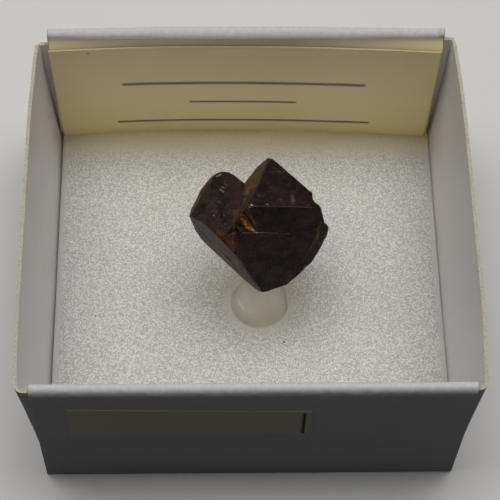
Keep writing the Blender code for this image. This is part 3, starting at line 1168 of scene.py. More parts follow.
@dataclass
class FoamPad:
    """The foam pad: glittering cut face, smooth rolled side edges, a fillet of glue round the peg."""

    left: float = -20.62
    right: float = 20.92
    half_depth: float = 19.75
    top: float = 2.97
    bottom: float = 0.55
    taper: float = 0.988
    pitch: float = 0.16
    roll: float = 0.6
    drop: float = 0.45
    cut_edge: Band = (0.35, 0.8)
    cells: tuple[Ripple, ...] = (Ripple(0.022, (3.2, 3.2)), Ripple(0.014, (6.5, 6.5), (5.0,)))
    swell: Ripple = Ripple(0.05, (0.12, 0.12), (9.0,))
    peg_centre: Band = (1.21, -2.71)
    smear: Band = (2.9, 4.4)
    smear_edge: Ripple = Ripple(0.25, (0.8, 0.8), (4.0,))
    smear_cover: float = 0.55
    fillet: Band = (2.9, 3.9)
    fillet_height: float = 0.15
    fillet_edge: Ripple = Ripple(0.12, (0.9, 0.9), (6.0,))
    crease: float = 60.0
    finish: FoamFinish = field(default_factory=FoamFinish)

    def edge(self, x: float) -> float:
        """Distance from the nearer rolled edge."""
        return min(x - self.left, self.right - x)

    def height(self, x: float, y: float) -> float:
        """Height of the pad's face at a place."""
        down = self.drop * (1.0 - min(1.0, self.edge(x) / self.roll)) ** 2
        away = math.dist((x, y), self.peg_centre) + self.fillet_edge.at(x, y)
        fillet = self.fillet_height * float(1.0 - smooth(away, *self.fillet))
        cells = sum(ripple.at(x, y) for ripple in self.cells) * float(smooth(self.edge(x), *self.cut_edge))
        return self.top + self.swell.at(x, y) - down + fillet + cells

    def bareness(self, x: float, y: float) -> float:
        """How far the cut cells show at a place: not on the rolled edges, nor in the smear round the peg."""
        return float(smooth(self.edge(x), *self.cut_edge)) * (1.0 - self.smear_cover * self.smeared(x, y))

    def smeared(self, x: float, y: float) -> float:
        """How much glue lies on the foam at a place."""
        away = math.dist((x, y), self.peg_centre) + self.smear_edge.at(x, y)
        return float(1.0 - smooth(away, *self.smear))

    def build(self) -> bpy.types.Object:
        """Builds the pad and fixes it in the tray."""
        columns = int((self.right - self.left) / self.pitch)
        rows = int(2 * self.half_depth / self.pitch)
        xs = np.linspace(self.left, self.right, columns)
        ys = np.linspace(-self.half_depth, self.half_depth, rows)
        points = [(x, y, self.height(x, y)) for y in ys for x in xs]
        faces = grid_faces(columns, rows)
        rim = list(range(columns))
        rim += [row * columns + columns - 1 for row in range(1, rows)]
        rim += [(rows - 1) * columns + column for column in range(columns - 2, -1, -1)]
        rim += [row * columns for row in range(rows - 2, 0, -1)]
        low = len(points)
        points += [(points[index][0] * self.taper, points[index][1], self.bottom) for index in rim]
        for step in range(len(rim)):
            after = (step + 1) % len(rim)
            faces.append((rim[after], rim[step], low + step, low + after))
        faces.append(tuple(low + step for step in reversed(range(len(rim)))))
        pad = new_piece("foam_face_pad", points, faces, [self.finish.make()])
        set_mask(pad.data, "cut", [self.bareness(point[0], point[1]) for point in points])
        set_mask(pad.data, "smear", [self.smeared(point[0], point[1]) for point in points])
        shade(pad, self.crease)
        return settle(pad, "foam", "foam_pad")


@dataclass(frozen=True)
class Mark:
    """A named mark on the crystals along a line of the photograph's pixels.

    Its half width is in millimetres; a strength below 0 takes the stain away; a taper narrows both ends.
    """

    name: str
    stain: Stain
    path: tuple[Pixel, ...]
    half: float
    strength: float
    ragged: float = 0.35
    streak: float = 0.0
    taper: float = 0.0


@dataclass(frozen=True)
class Dent:
    """A pit or, with a height above 0, a bump along a line of pixels, with its radius and height in millimetres.

    Its shift, right and up across the photograph, is in millimetres too.
    """

    name: str
    path: tuple[Pixel, ...]
    radius: float
    height: float
    shift: Band = (0.0, 0.0)


@dataclass(frozen=True)
class Rub:
    """A place worn smooth along a line of pixels: its radius in millimetres and how many times it is rubbed."""

    name: str
    path: tuple[Pixel, ...]
    radius: float
    times: int


MARKS = (
    Mark("left brown wash", Stain.UMBER, ((205, 190), (212, 208), (218, 222)), 0.55, 0.14, 1.0, 0.9),
    Mark("middle brown wash", Stain.UMBER, ((225, 196), (231, 206), (234, 218)), 0.60, 0.18, 1.0, 0.9),
    # brown of the crease, partly painted light lifting the shade of the slit between the crystals
    Mark("crease brown and painted light", Stain.UMBER, ((236.5, 212), (235, 224), (235.5, 236)), 0.40, 0.38, 0.6, 0.8),
    Mark("left red blush", Stain.PLUM, ((238, 192), (238, 206)), 0.80, 0.70, 0.9),
    Mark("upper red blush", Stain.PLUM, ((224, 176), (234, 186)), 0.70, 0.70, 0.9),
    Mark("lower red blush", Stain.PLUM, ((209, 218), (212, 228)), 0.45, 0.6),
    Mark("cap red blush", Stain.PLUM, ((262, 176), (284, 196)), 0.60, 0.4, 0.9),
    Mark("slate bar", Stain.SLATE, ((213, 200.5), (212.6, 205.5)), 0.42, 0.6, 0.7),
    Mark("slate haze", Stain.SLATE, ((214, 190), (216, 198)), 0.35, 0.4, 1.0),
    Mark("slate pool", Stain.SLATE, ((220, 225), (226, 228)), 0.70, 0.6, 0.9),
    Mark("blue chip", Stain.SLATE, ((249.6, 211), (249.7, 213)), 0.14, 0.8),
    Mark("dark under the chip", Stain.DARK_AND_SHADE, ((213, 180), (216.5, 177.8), (222, 179.5)), 0.22, 0.85),
    Mark("dark by the ribs", Stain.DARK_AND_SHADE, ((220, 184), (221, 193), (226, 200)), 0.34, 0.6, 0.8),
    # painted light: lightens the slit beside the lens, which sits in shade
    Mark("lens slit painted light", Stain.UMBER, ((239.6, 216), (239, 221)), 0.26, 0.45, 0.5, 0.6),
    # painted light: lightens a small face that sits in shadow by the terrace
    Mark("terrace corner painted light", Stain.UMBER, ((249, 209.5), (253, 218.5), (256.8, 222.8)), 0.10, 0.2, 0.4),
    Mark("dark lower edge", Stain.DARK_AND_SHADE, ((217.5, 233), (226, 243.5), (234.5, 252.8)), 0.10, 0.8),
    Mark("left bevel", Stain.UMBER, ((207.1, 184.2), (199, 196), (189.5, 212)), 0.24, 0.6, 0.6, 0.5),
    # painted shade: darkens the lighter ledge to the cap's tone
    Mark("terrace strip painted shade", Stain.PLUM, ((270.5, 202.6), (290, 203.2), (309, 204.4)), 0.22, 0.3, 0.5),
    Mark("cap dark patch", Stain.DARK_AND_SHADE, ((262, 186), (275, 180), (286, 188)), 0.45, 0.5, 1.0),
    Mark("left dark patch", Stain.DARK_AND_SHADE, ((203, 205), (200, 212)), 0.40, 0.5, 1.0),
    Mark("notch brown", Stain.UMBER, ((248, 186), (247, 193)), 0.30, 0.7, 0.6),
    Mark("bevel right side bare", Stain.UMBER, ((271, 159), (264, 171), (260.5, 181)), 0.22, -0.85, 0.3),
    Mark("bevel foot bare", Stain.UMBER, ((258, 188), (253, 198), (249, 207)), 0.34, -0.8, 0.5),
    Mark("right crystal brown", Stain.UMBER, ((324, 223), (321.5, 234), (318, 246)), 0.85, 0.26, 0.7, 0.5),
    Mark("lens", Stain.RUST, ((240.6, 214.5), (246.6, 222.8), (252, 228.6), (256.4, 232.2)),
         0.52, 0.62, 0.22, 0.5, 0.7),
    Mark("lens light", Stain.RUST, ((241.8, 218.5), (246.4, 225), (253.5, 231)), 0.22, 0.98, 0.5, 0.6, 0.6),
    Mark("lens right side", Stain.RUST, ((244.5, 216), (250.5, 221.5), (256.2, 230)),
         0.16, 0.5, 0.22, 0.4, 0.5),
    Mark("lens core", Stain.TAN, ((247.6, 221.4), (251.2, 225.8), (254.6, 230.4)), 0.13, 0.42, 0.4, 0.5, 0.5),
    Mark("triangle", Stain.RUST, ((221, 234), (227.5, 240), (233, 247.5)), 0.58, 0.37, 0.50, 0.6),
    Mark("triangle light", Stain.RUST, ((221.5, 234), (226.5, 241), (231.5, 247.5)), 0.14, 0.50, 0.8, 0.9),
    Mark("triangle top", Stain.RUST, ((228, 233.5), (233, 236), (234.6, 243)), 0.36, 0.34, 0.60, 0.7),
    Mark("left rust dot", Stain.RUST, ((212.6, 209), (214.6, 212)), 0.20, 0.20, 0.90),
    Mark("notch rust", Stain.RUST, ((247.4, 186.5), (249.5, 189.5)), 0.24, 0.36, 0.50),
    Mark("right crystal rust", Stain.RUST, ((318.4, 227), (317.2, 240)), 0.26, 0.62, 0.9, 0.7, 0.5),
    # pale chip, partly a painted highlight
    Mark("top chip and highlight", Stain.TAN, ((216.5, 176.4), (220.8, 174.6)), 0.075, 0.55, 0.25),
    Mark("first rib", Stain.TAN, ((221.6, 186.8), (225, 188.2)), 0.07, 0.32, 0.6),
    Mark("second rib", Stain.TAN, ((220.2, 189.3), (223.6, 191.8)), 0.08, 0.38, 0.6),
    Mark("third rib", Stain.TAN, ((224.4, 183.6), (226.9, 185)), 0.05, 0.16, 0.6),
    Mark("fourth rib", Stain.TAN, ((223.4, 180.6), (225.3, 181.6)), 0.04, 0.14, 0.6),
    Mark("left dot", Stain.TAN, ((213.8, 215), (214.1, 215.6)), 0.07, 0.40, 0.1),
    Mark("middle dot", Stain.TAN, ((223.8, 215), (224.1, 216)), 0.06, 0.25, 0.1),
    Mark("cap dots", Stain.TAN, ((292.4, 196.2), (293, 204)), 0.18, 0.22, 1.0, 1.0),
    Mark("cap dot", Stain.TAN, ((293.2, 200), (294.8, 200.7)), 0.06, 0.32, 0.4),
    Mark("right crystal foot", Stain.TAN, ((315.6, 241.5), (319, 243.6)), 0.18, 0.06, 0.6),
    # painted shade: dims the reflection on the right crystal's lower face
    Mark("right crystal shade", Stain.DARK_AND_SHADE, ((326.5, 226), (324.5, 238), (314, 256)), 0.50, 0.45, 0.7, 0.5),
    Mark("right crystal dots", Stain.TAN, ((318.2, 229), (317.2, 238.5)), 0.14, 0.30, 1.0, 1.0),
    # painted highlights along crests, ledges and edges
    Mark("crease light", Stain.GLINT, ((248.5, 187.4), (244.3, 200.7), (240.1, 208.3), (237.1, 215)),
         0.06, 0.14, 1.2, 0.9),
    Mark("terrace glint", Stain.GLINT, ((251.5, 205), (252.1, 205.3)), 0.11, 0.85, 0.1),
    Mark("terrace end glint", Stain.GLINT, ((249.2, 206.8), (249.8, 207.2)), 0.09, 0.36, 0.1),
    Mark("terrace dot", Stain.GLINT, ((267, 204.2), (267.7, 204.2)), 0.08, 0.40, 0.1),
    Mark("terrace edge", Stain.GLINT, ((253.5, 205.9), (290, 206.3), (312, 207.6)), 0.05, 0.10, 0.6, 0.5),
    Mark("ledge left", Stain.GLINT, ((242.3, 232.6), (247.5, 233), (256.9, 232.8)), 0.045, 0.12, 0.3),
    Mark("ledge bright", Stain.GLINT, ((256, 232.7), (263.5, 232.4)), 0.055, 0.30, 0.2),
    Mark("ledge fading", Stain.GLINT, ((263.5, 232.5), (278.8, 233.3)), 0.045, 0.12, 0.3),
    Mark("ridge light", Stain.GLINT, ((233.6, 217.5), (232.7, 239.5), (233, 249.5)), 0.05, 0.12, 0.9, 0.9),
    Mark("front edge light", Stain.GLINT, ((237.8, 239.5), (237.4, 255)), 0.06, 0.26, 0.4),
    Mark("right crease light", Stain.GLINT, ((321.4, 221.2), (317.4, 231)), 0.05, 0.14, 0.6),
    Mark("left tip light", Stain.GLINT, ((190.5, 217.5), (200, 228)), 0.10, 0.16, 0.8, 0.7),
    Mark("satin edge light", Stain.GLINT, ((189.2, 215.5), (199, 234.5), (213, 250.5)), 0.05, 0.10, 0.6),
)
DENTS = (
    Dent("left bulge", ((203.5, 190.5), (213, 178.5)), 1.15, 0.26),
    Dent("slate pit", ((222.9, 225),), 0.65, 0.09),
    Dent("chip", ((218.5, 175.6),), 0.25, -0.05),
    Dent("left top", ((228, 174.5),), 0.9, 0.13),
    Dent("rib pit", ((222, 189),), 0.40, -0.07),
    Dent("middle pit", ((230, 198),), 0.35, -0.06),
    Dent("right shoulder", ((320.6, 211.5),), 0.22, 0.10),
    Dent("cap lip", ((310.5, 193),), 0.35, 0.12),
    Dent("blue pit", ((249.6, 212.5),), 0.22, -0.08),
    Dent("cap bump", ((294, 200.5),), 0.18, 0.05),
    Dent("crease pit", ((241, 206),), 0.30, -0.05),
    Dent("triangle pit", ((225, 233),), 0.30, -0.05),
    Dent("right notch", ((312.2, 197.5),), 0.28, -0.16),
    Dent("right side", ((316.6, 206.5), (318.6, 213), (320.6, 220.5)), 0.75, 0.0, (0.30, 0.0)),
    Dent("right knob", ((319.6, 211.5), (320.4, 214)), 0.30, 0.0, (0.10, 0.03)),
    Dent("right tip", ((326.4, 227.6), (325, 235)), 0.60, 0.0, (0.14, 0.0)),
    Dent("lower right edge", ((317.4, 246.5), (313.2, 253), (309.2, 259.5)), 1.0, 0.0, (0.25, -0.16)),
    Dent("right bulge", ((321, 238),), 1.1, 0.32),
)
RUBS = (
    Rub("blunt tip", ((270.2, 158.6),), 0.85, 34),
    Rub("left shoulder", ((217.2, 173.4),), 0.7, 26),
    Rub("left top", ((228.8, 172.6),), 0.5, 16),
    Rub("terrace groove", ((253, 200.3), (311, 201.6)), 0.34, 26),
    Rub("ledge end", ((280, 233.1), (314, 234.2)), 0.42, 36),
    Rub("right crystal edge", ((327.5, 226),), 0.5, 12),
)


@dataclass
class CrystalGroup:
    """The intergrown crystals: flat faces, worn edges, pitted caps, films of rust."""

    longest_edge: float = 0.125
    longest_hidden: float = 0.3
    finish: MagnetiteFinish = field(default_factory=MagnetiteFinish)
    cap_normals: tuple[Triple, ...] = ((0.24, 0.28, 0.93), (-0.01, -0.06, 1.0))
    satin_normal: Triple = (-0.68, -0.72, -0.09)
    bevel_normal: Triple = (-0.79, 0.44, 0.43)
    rib: Triple = (0.56, -0.60, -0.57)
    weld: float = 1e-6
    rounds: int = 12
    crease: float = 32.0
    cap_match: float = 0.965
    face_match: float = 0.97
    satin_even: float = 0.55
    satin_lines: float = 0.9
    satin_paces: Band = (3.2, 0.35)
    satin_least: float = 0.08
    bevel_even: float = 0.85
    bevel_lines: Ripple = Ripple(0.5, (3.0, 3.0, 0.5))
    bevel_strength: float = 0.9
    swells: tuple[Ripple, ...] = (Ripple(0.012, (1.1, 1.1, 1.1)), Ripple(0.007, (3.7, 3.7, 3.7)))
    pits: Ripple = Ripple(1.0, (2.1, 2.1, 2.1))
    pit_least: float = 0.1
    pit_depth: float = 0.12
    grit: Ripple = Ripple(0.022, (4.6, 4.6, 4.6))
    worn_angle: float = 0.6
    chips: Ripple = Ripple(0.5, (1.9, 1.9, 1.9))
    chip_least: float = -0.15
    chip_depth: float = 0.08
    edge_wear: float = 0.02
    rub_narrowing: float = 0.4
    mark_reach: float = 2.2
    mark_edge: Band = (0.6, 1.4)
    mark_wander: Band = (1.6, 1.1)
    mark_finest: float = 0.12
    streak_paces: Band = (5.5, 0.9)
    streak_amounts: Band = (0.35, 0.9)

    def build(self, eye: Eye) -> bpy.types.Object:
        """Builds the crystals from their solid, with worn edges, pits and films.

        Args:
            eye: The photograph's point of view.

        Returns:
            The finished group.
        """
        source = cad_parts["magnetite_crystal"]
        mesh = source.data.copy()
        mesh.name = "magnetite_group"
        mesh.materials.clear()
        mesh.materials.append(self.finish.make())
        bm = bmesh.new()
        bm.from_mesh(mesh)
        bmesh.ops.remove_doubles(bm, verts=bm.verts[:], dist=self.weld)
        self.subdivide(bm, eye)
        masks = self.regions(bm)
        self.rub(bm, eye)
        self.weather(bm, masks[Stain.ROUGH])
        self.dent(bm, eye)
        self.paint(bm, masks, eye)
        bm.to_mesh(mesh)
        bm.free()
        for stain, values in masks.items():
            set_mask(mesh, stain.value, values)
        group = bpy.data.objects.new("magnetite_group", mesh)
        bpy.context.scene.collection.objects.link(group)
        shade(group, self.crease)
        return settle(group, "magnetite", "magnetite_crystal")

    def subdivide(self, bm: bmesh.types.BMesh, eye: Eye) -> None:
        """Splits the faces until no edge is too long; the sides turned away keep longer ones.

        Args:
            bm: The crystals' mesh.
            eye: The photograph's point of view.
        """
        bmesh.ops.triangulate(bm, faces=bm.faces[:])
        view = Vector(eye.place) * MM
        for _ in range(self.rounds):
            bm.normal_update()
            long_edges = []
            for edge in bm.edges:
                middle = (edge.verts[0].co + edge.verts[1].co) / 2
                seen = any(face.normal.dot(view - middle) > 0.0 for face in edge.link_faces)
                limit = self.longest_edge if seen else self.longest_hidden
                if edge.calc_length() > limit * MM:
                    long_edges.append(edge)
            if not long_edges:
                break
            bmesh.ops.subdivide_edges(bm, edges=long_edges, cuts=1, use_grid_fill=False)
            bmesh.ops.triangulate(bm, faces=[face for face in bm.faces if len(face.verts) > 3])

    def regions(self, bm: bmesh.types.BMesh) -> dict[Stain, np.ndarray]:
        """Tells the rough caps, the satin face and the golden bevels apart by the way that they face.

        Args:
            bm: The crystals' mesh.

        Returns:
            One row of values for each kind of mark.
        """
        bm.normal_update()
        count = len(bm.verts)
        masks = {stain: np.zeros(count) for stain in Stain}
        caps = [Vector(normal) for normal in self.cap_normals]
        satin, bevel, rib = Vector(self.satin_normal), Vector(self.bevel_normal), Vector(self.rib)
        for index, vert in enumerate(bm.verts):
            share = 1.0 / len(vert.link_faces)
            place = vert.co / MM
            along = place.dot(rib)
            across = place - rib * along
            for normal in (face.normal for face in vert.link_faces):
                if max(normal.dot(cap) for cap in caps) > self.cap_match:
                    masks[Stain.ROUGH][index] += share
                if normal.dot(satin) > self.face_match:
                    spot = across * self.satin_paces[0] + rib * along * self.satin_paces[1]
                    lines = self.satin_even + self.satin_lines * noise.noise(spot)
                    masks[Stain.SATIN][index] += share * min(1.0, max(self.satin_least, lines))
                if normal.dot(bevel) > self.face_match:
                    lines = min(1.0, max(0.0, self.bevel_even + self.bevel_lines.at(*place)))
                    masks[Stain.UMBER][index] += share * lines * self.bevel_strength
        return masks

    def weather(self, bm: bmesh.types.BMesh, rough: np.ndarray) -> None:
        """Wears the edges and pits the rough caps.

        Args:
            bm: The crystals' mesh.
            rough: How rough each point is.
        """
        moves = []
        for amount, vert in zip(rough, bm.verts):
            worn = max((edge.calc_face_angle(0.0) for edge in vert.link_edges), default=0.0)
            place = vert.co / MM
            relief = sum(swell.at(*place) for swell in self.swells)
            if amount:
                relief -= amount * self.pit_depth * max(0.0, self.pits.at(*place) - self.pit_least)
                relief += amount * self.grit.at(*place)
            if worn > self.worn_angle:
                chip = max(0.0, self.chips.at(*place) - self.chip_least)
                relief -= self.edge_wear + self.chip_depth * chip * min(1.0, worn)
            moves.append(vert.normal * relief * MM)
        for vert, move in zip(bm.verts, moves):
            vert.co += move

    def near(
        self, places: np.ndarray, line: np.ndarray, reach: float
    ) -> tuple[np.ndarray, np.ndarray, np.ndarray]:
        """Finds the points close to a line.

        Args:
            places: Every point, in millimetres.
            line: Points along the line.
            reach: How close.

        Returns:
            Their numbers, their distances, and how far along the line each is, from 0 to 1.
        """
        inside = ((places > line.min(0) - reach) & (places < line.max(0) + reach)).all(1)
        found = np.flatnonzero(inside)
        gaps = np.linalg.norm(places[found, None, :] - line[None], axis=2)
        if not len(found):
            return found, np.zeros(0), np.zeros(0)
        return found, gaps.min(axis=1), gaps.argmin(axis=1) / max(1, len(line) - 1)

    def rub(self, bm: bmesh.types.BMesh, eye: Eye) -> None:
        """Wears the rubbed places smooth.

        Args:
            bm: The crystals' mesh.
            eye: The photograph's point of view.
        """
        tree = BVHTree.FromBMesh(bm)
        places = np.array([vert.co for vert in bm.verts]) / MM
        bm.verts.ensure_lookup_table()
        for rub in RUBS:
            trail = self.trail(tree, rub.path, eye)
            if not trail:
                continue
            found, gaps, _ = self.near(places, np.array(trail), rub.radius)
            for turn in range(rub.times):
                limit = rub.radius * (1.0 - self.rub_narrowing * turn / rub.times)
                chosen = [bm.verts[index] for index, gap in zip(found, gaps) if gap < limit]
                bmesh.ops.smooth_vert(
                    bm, verts=chosen, factor=0.5, use_axis_x=True, use_axis_y=True, use_axis_z=True
                )
        bm.normal_update()

    def dent(self, bm: bmesh.types.BMesh, eye: Eye) -> None:
        """Presses the pits and raises the bumps at their pixels.

        Args:
            bm: The crystals' mesh.
            eye: The photograph's point of view.
        """
        tree = BVHTree.FromBMesh(bm)
        bm.verts.ensure_lookup_table()
        for dent in DENTS:
            trail = self.trail(tree, dent.path, eye)
            hit = eye.land(tree, dent.path[0])
            if not (trail and hit):
                continue
            push = hit[1] * dent.height + Vector(eye.right) * dent.shift[0] + Vector(eye.up) * dent.shift[1]
            places = np.array([vert.co for vert in bm.verts]) / MM
            found, gaps, _ = self.near(places, np.array(trail), dent.radius)
            for index, gap in zip(found, gaps / dent.radius):
                if gap < 1.0:
                    bm.verts[index].co += push * (1.0 - gap * gap) ** 2 * MM
        bm.normal_update()

    def paint(self, bm: bmesh.types.BMesh, masks: dict[Stain, np.ndarray], eye: Eye) -> None:
        """Lays the marks on the surface under their pixels.

        Args:
            bm: The crystals' mesh.
            masks: The values that the marks are added to.
            eye: The photograph's point of view.
        """
        tree = BVHTree.FromBMesh(bm)
        places = np.array([vert.co for vert in bm.verts]) / MM
        for mark in MARKS:
            trail = self.trail(tree, mark.path, eye)
            if not trail:
                continue
            line = np.array(trail)
            run = Vector(line[-1] - line[0]).normalized()
            found, gaps, shares = self.near(places, line, mark.half * self.mark_reach)
            for index, gap, share in zip(found, gaps / mark.half, shares):
                gap /= 1.0 - mark.taper * (2.0 * share - 1.0) ** 2
                if gap > self.mark_reach:
                    continue
                place = Vector(places[index])
                pace = self.mark_wander[1] / max(mark.half, self.mark_finest)
                gap += mark.ragged * self.mark_wander[0] * noise.noise(place * pace)
                value = abs(mark.strength) * float(1.0 - smooth(gap, *self.mark_edge))
                if mark.streak:
                    along = place.dot(run)
                    side = (place - run * along) * self.streak_paces[0]
                    lines = noise.noise(side + run * along * self.streak_paces[1])
                    cover = self.streak_amounts[0] + self.streak_amounts[1] * lines
                    value *= max(0.0, 1.0 - mark.streak * cover)
                values = masks[mark.stain]
                if mark.strength < 0:
                    values[index] *= 1.0 - min(value, 1.0)
                else:
                    values[index] = max(values[index], min(value, 1.0))

    def trail(self, tree: BVHTree, path: Sequence[Pixel], eye: Eye) -> list[Triple]:
        """Finds the surface under a line of pixels, two points for each pixel of its length.

        Args:
            tree: The crystals' search tree.
            path: The line's corners.
            eye: The photograph's point of view.

        Returns:
            The points, in millimetres.
        """
        found = []
        for start, end in zip(path, path[1:] or path):
            steps = max(1, round(2 * math.dist(start, end)))
            for step in range(steps + 1):
                share = step / steps
                pixel = (start[0] + (end[0] - start[0]) * share, start[1] + (end[1] - start[1]) * share)
                hit = eye.land(tree, pixel)
                if hit:
                    found.append(tuple(hit[0] / MM))
        return found


@dataclass
class SpecimenPeg:
    """The hazy peg: a turned stick with a soft foot, cut to the crystals that it holds."""

    centre: Band = (1.21, -2.71)
    outline: tuple[Band, ...] = (
        (1.92, 11.3), (1.92, 5.8), (2.0, 5.3), (2.22, 4.85), (2.48, 4.4), (2.68, 3.9),
        (2.80, 3.5), (2.92, 3.24), (3.04, 3.10), (3.15, 3.03), (3.25, 2.98), (3.34, 2.85),
    )
    sides: int = 96
    bead: tuple[Pixel, ...] = ((237.3, 298.5), (239.2, 303.0), (242.8, 308.0), (247.0, 311.2), (251.4, 313.2))
    between: int = 4
    wave: Ripple = Ripple(0.006, (1.5, 1.5, 0.3))
    bead_radius: float = 0.11
    bead_tip: float = 0.35
    bead_sides: int = 8
    crease: float = 40.0
    finish: PegFinish = field(default_factory=PegFinish)
    bead_finish: PegBeadHighlightFinish = field(default_factory=PegBeadHighlightFinish)

    def profile(self) -> list[Band]:
        """Radius and height down the peg's outside, close enough together to look round."""
        spots = []
        for (wide, high), (after_wide, after_high) in zip(self.outline, self.outline[1:]):
            for step in range(self.between):
                share = step / self.between
                spots.append((wide + (after_wide - wide) * share, high + (after_high - high) * share))
        return spots + [self.outline[-1]]

    def lay_bead(self, peg: bpy.types.Object, eye: Eye) -> None:
        """Adds the thin arc of glue low on the peg's front left; its paler finish paints the highlight along it.

        Args:
            peg: The peg, which the bead becomes part of.
            eye: The photograph's point of view.
        """
        bm = bmesh.new()
        bm.from_mesh(peg.data)
        tree = BVHTree.FromBMesh(bm)
        hits = [hit[0] / MM for hit in (eye.land(tree, pixel) for pixel in self.bead) if hit]
        rings = []
        for index, place in enumerate(hits):
            ahead = (hits[min(index + 1, len(hits) - 1)] - hits[max(index - 1, 0)]).normalized()
            side = ahead.orthogonal().normalized()
            over = ahead.cross(side)
            radius = self.bead_radius * (self.bead_tip if index in (0, len(hits) - 1) else 1.0)
            turns = [2 * math.pi * step / self.bead_sides for step in range(self.bead_sides)]
            spots = [place + (side * math.cos(turn) + over * math.sin(turn)) * radius for turn in turns]
            rings.append([bm.verts.new(spot * MM) for spot in spots])
        for ring, after in zip(rings, rings[1:]):
            for step in range(self.bead_sides):
                face = bm.faces.new((ring[step], ring[step - 1], after[step - 1], after[step]))
                face.material_index = 1
                face.smooth = True
        for ring in (rings[0], rings[-1]):
            bm.faces.new(ring).material_index = 1
        bmesh.ops.recalc_face_normals(bm, faces=bm.faces[:])
        bm.to_mesh(peg.data)
        bm.free()

    def build(self, eye: Eye) -> bpy.types.Object:
        """Builds the peg and cuts its top to the crystals.

        Args:
            eye: The photograph's point of view.

        Returns:
            The finished peg.
        """
        outline = self.profile()
        points = []
        for radius, height in outline:
            for step in range(self.sides):
                angle = 2 * math.pi * step / self.sides
                across, along = math.cos(angle), math.sin(angle)
                reach = radius * (1 + self.wave.at(across, along, height))
                points.append((self.centre[0] + reach * across, self.centre[1] + reach * along, height))
        faces = grid_faces(self.sides, len(outline), wrap=True)
        faces.append(tuple(range(self.sides)))
        base = (len(outline) - 1) * self.sides
        faces.append(tuple(base + step for step in reversed(range(self.sides))))
        peg = new_piece("peg_stick", points, faces, [self.finish.make(), self.bead_finish.make()])
        turn_out(peg)
        cut = peg.modifiers.new("seat", "BOOLEAN")
        cut.operation = "DIFFERENCE"
        cut.solver = "EXACT"
        cut.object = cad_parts["magnetite_crystal"]
        apply_modifiers(peg)
        shade(peg, self.crease)
        self.lay_bead(peg, eye)
        return settle(peg, "peg", "specimen_peg")


@dataclass
class PaperLabel:
    """A thin paper label with printed rules."""

    name: str
    node: str
    slot: str
    finish: PaperFinish
    thickness: float
    crease: float = field(default=40.0, kw_only=True)

    def sheet(
        self, points: list[Triple], columns: int, rows: int, ink: list[float]
    ) -> bpy.types.Object:
        """Makes a sheet of paper from its middle surface.

        Args:
            points: Points of the middle surface, row by row.
            columns: Points in a row.
            rows: Number of rows.
            ink: How much ink lies at each point.

        Returns:
            The label, fixed to the part.
        """
        materials = [self.finish.make(), PlainPaperEdge().make()]
        paper = new_piece(self.name, points, grid_faces(columns, rows), materials)
        set_mask(paper.data, "ink", ink)
        thicken(paper, self.thickness)
        shade(paper, self.crease)
        return settle(paper, self.slot, self.node)


@dataclass
class LocalityLabel(PaperLabel):
    """The tall label that leans on the back wall, its ends bowed forward."""

    name: str = "locality_card"
    node: str = "locality_label"
    slot: str = "locality_paper"
    finish: PaperFinish = field(
        default_factory=lambda: PaperFinish("locality_face", (1.0, 0.86, 0.40), (0.985, 0.83, 0.38), gloss=1.0)
    )
    thickness: float = 0.16
    left: float = -20.92
    right: float = 20.45
    bottom: float = 2.75
    top: float = 18.9
    peak: Band = (-3.7, 19.53)
    bows: Band = (0.0021, 0.00141)
    foot_shift: Band = (0.45, 0.1)
    pitch: float = 0.13
    rules: tuple[tuple[float, float, float, float], ...] = (
        (-13.6, 13.0, 12.35, 0.24),
        (-6.3, 5.6, 8.75, 0.17),
        (-14.6, 14.0, 5.15, 0.17),
    )
    rule_end: float = 0.12
    rule_edge: Band = (0.6, 1.4)
    speck: Triple = (-16.8, 18.25, 0.2)
    speck_edge: Band = (0.5, 1.3)
    speck_ink: float = 0.5
    wave: Ripple = Ripple(0.02, (0.15, 0.15))
    half_width: float = 20.5

    def depth(self, x: float) -> float:
        """Distance back of the label's middle surface at a place along it."""
        away = x - self.peak[0]
        return self.peak[1] - self.bows[int(away > 0)] * away * away

    def ink(self, x: float, z: float) -> float:
        """How much ink the printed rules and the speck leave at a place.

        Args:
            x: Place along the label.
            z: Height.

        Returns:
            The ink, from 0 to 1.
        """
        across, up, radius = self.speck
        away = math.hypot(x - across, z - up) / radius
        share = self.speck_ink * float(1.0 - smooth(away, *self.speck_edge))
        soft = self.rule_end
        for start, end, height, half in self.rules:
            run = smooth(x, start - soft, start + soft) * (1.0 - smooth(x, end - soft, end + soft))
            line = 1.0 - smooth(abs(z - height) / half, *self.rule_edge)
            share = max(share, float(run * line))
        return share

    def build(self) -> bpy.types.Object:
        """Builds the label."""
        columns = int((self.right - self.left) / self.pitch)
        rows = int((self.top - self.bottom) / self.pitch)
        points, ink = [], []
        for z in np.linspace(self.bottom, self.top, rows):
            for x in np.linspace(self.left, self.right, columns):
                side = int(x > self.peak[0])
                lift = (self.top - z) / (self.top - self.bottom)
                narrow = 1.0 - lift * self.foot_shift[side] / self.half_width
                points.append((x * narrow, self.depth(x) + self.wave.at(x, z), z))
                ink.append(self.ink(x, z))
        return self.sheet(points, columns, rows, ink)


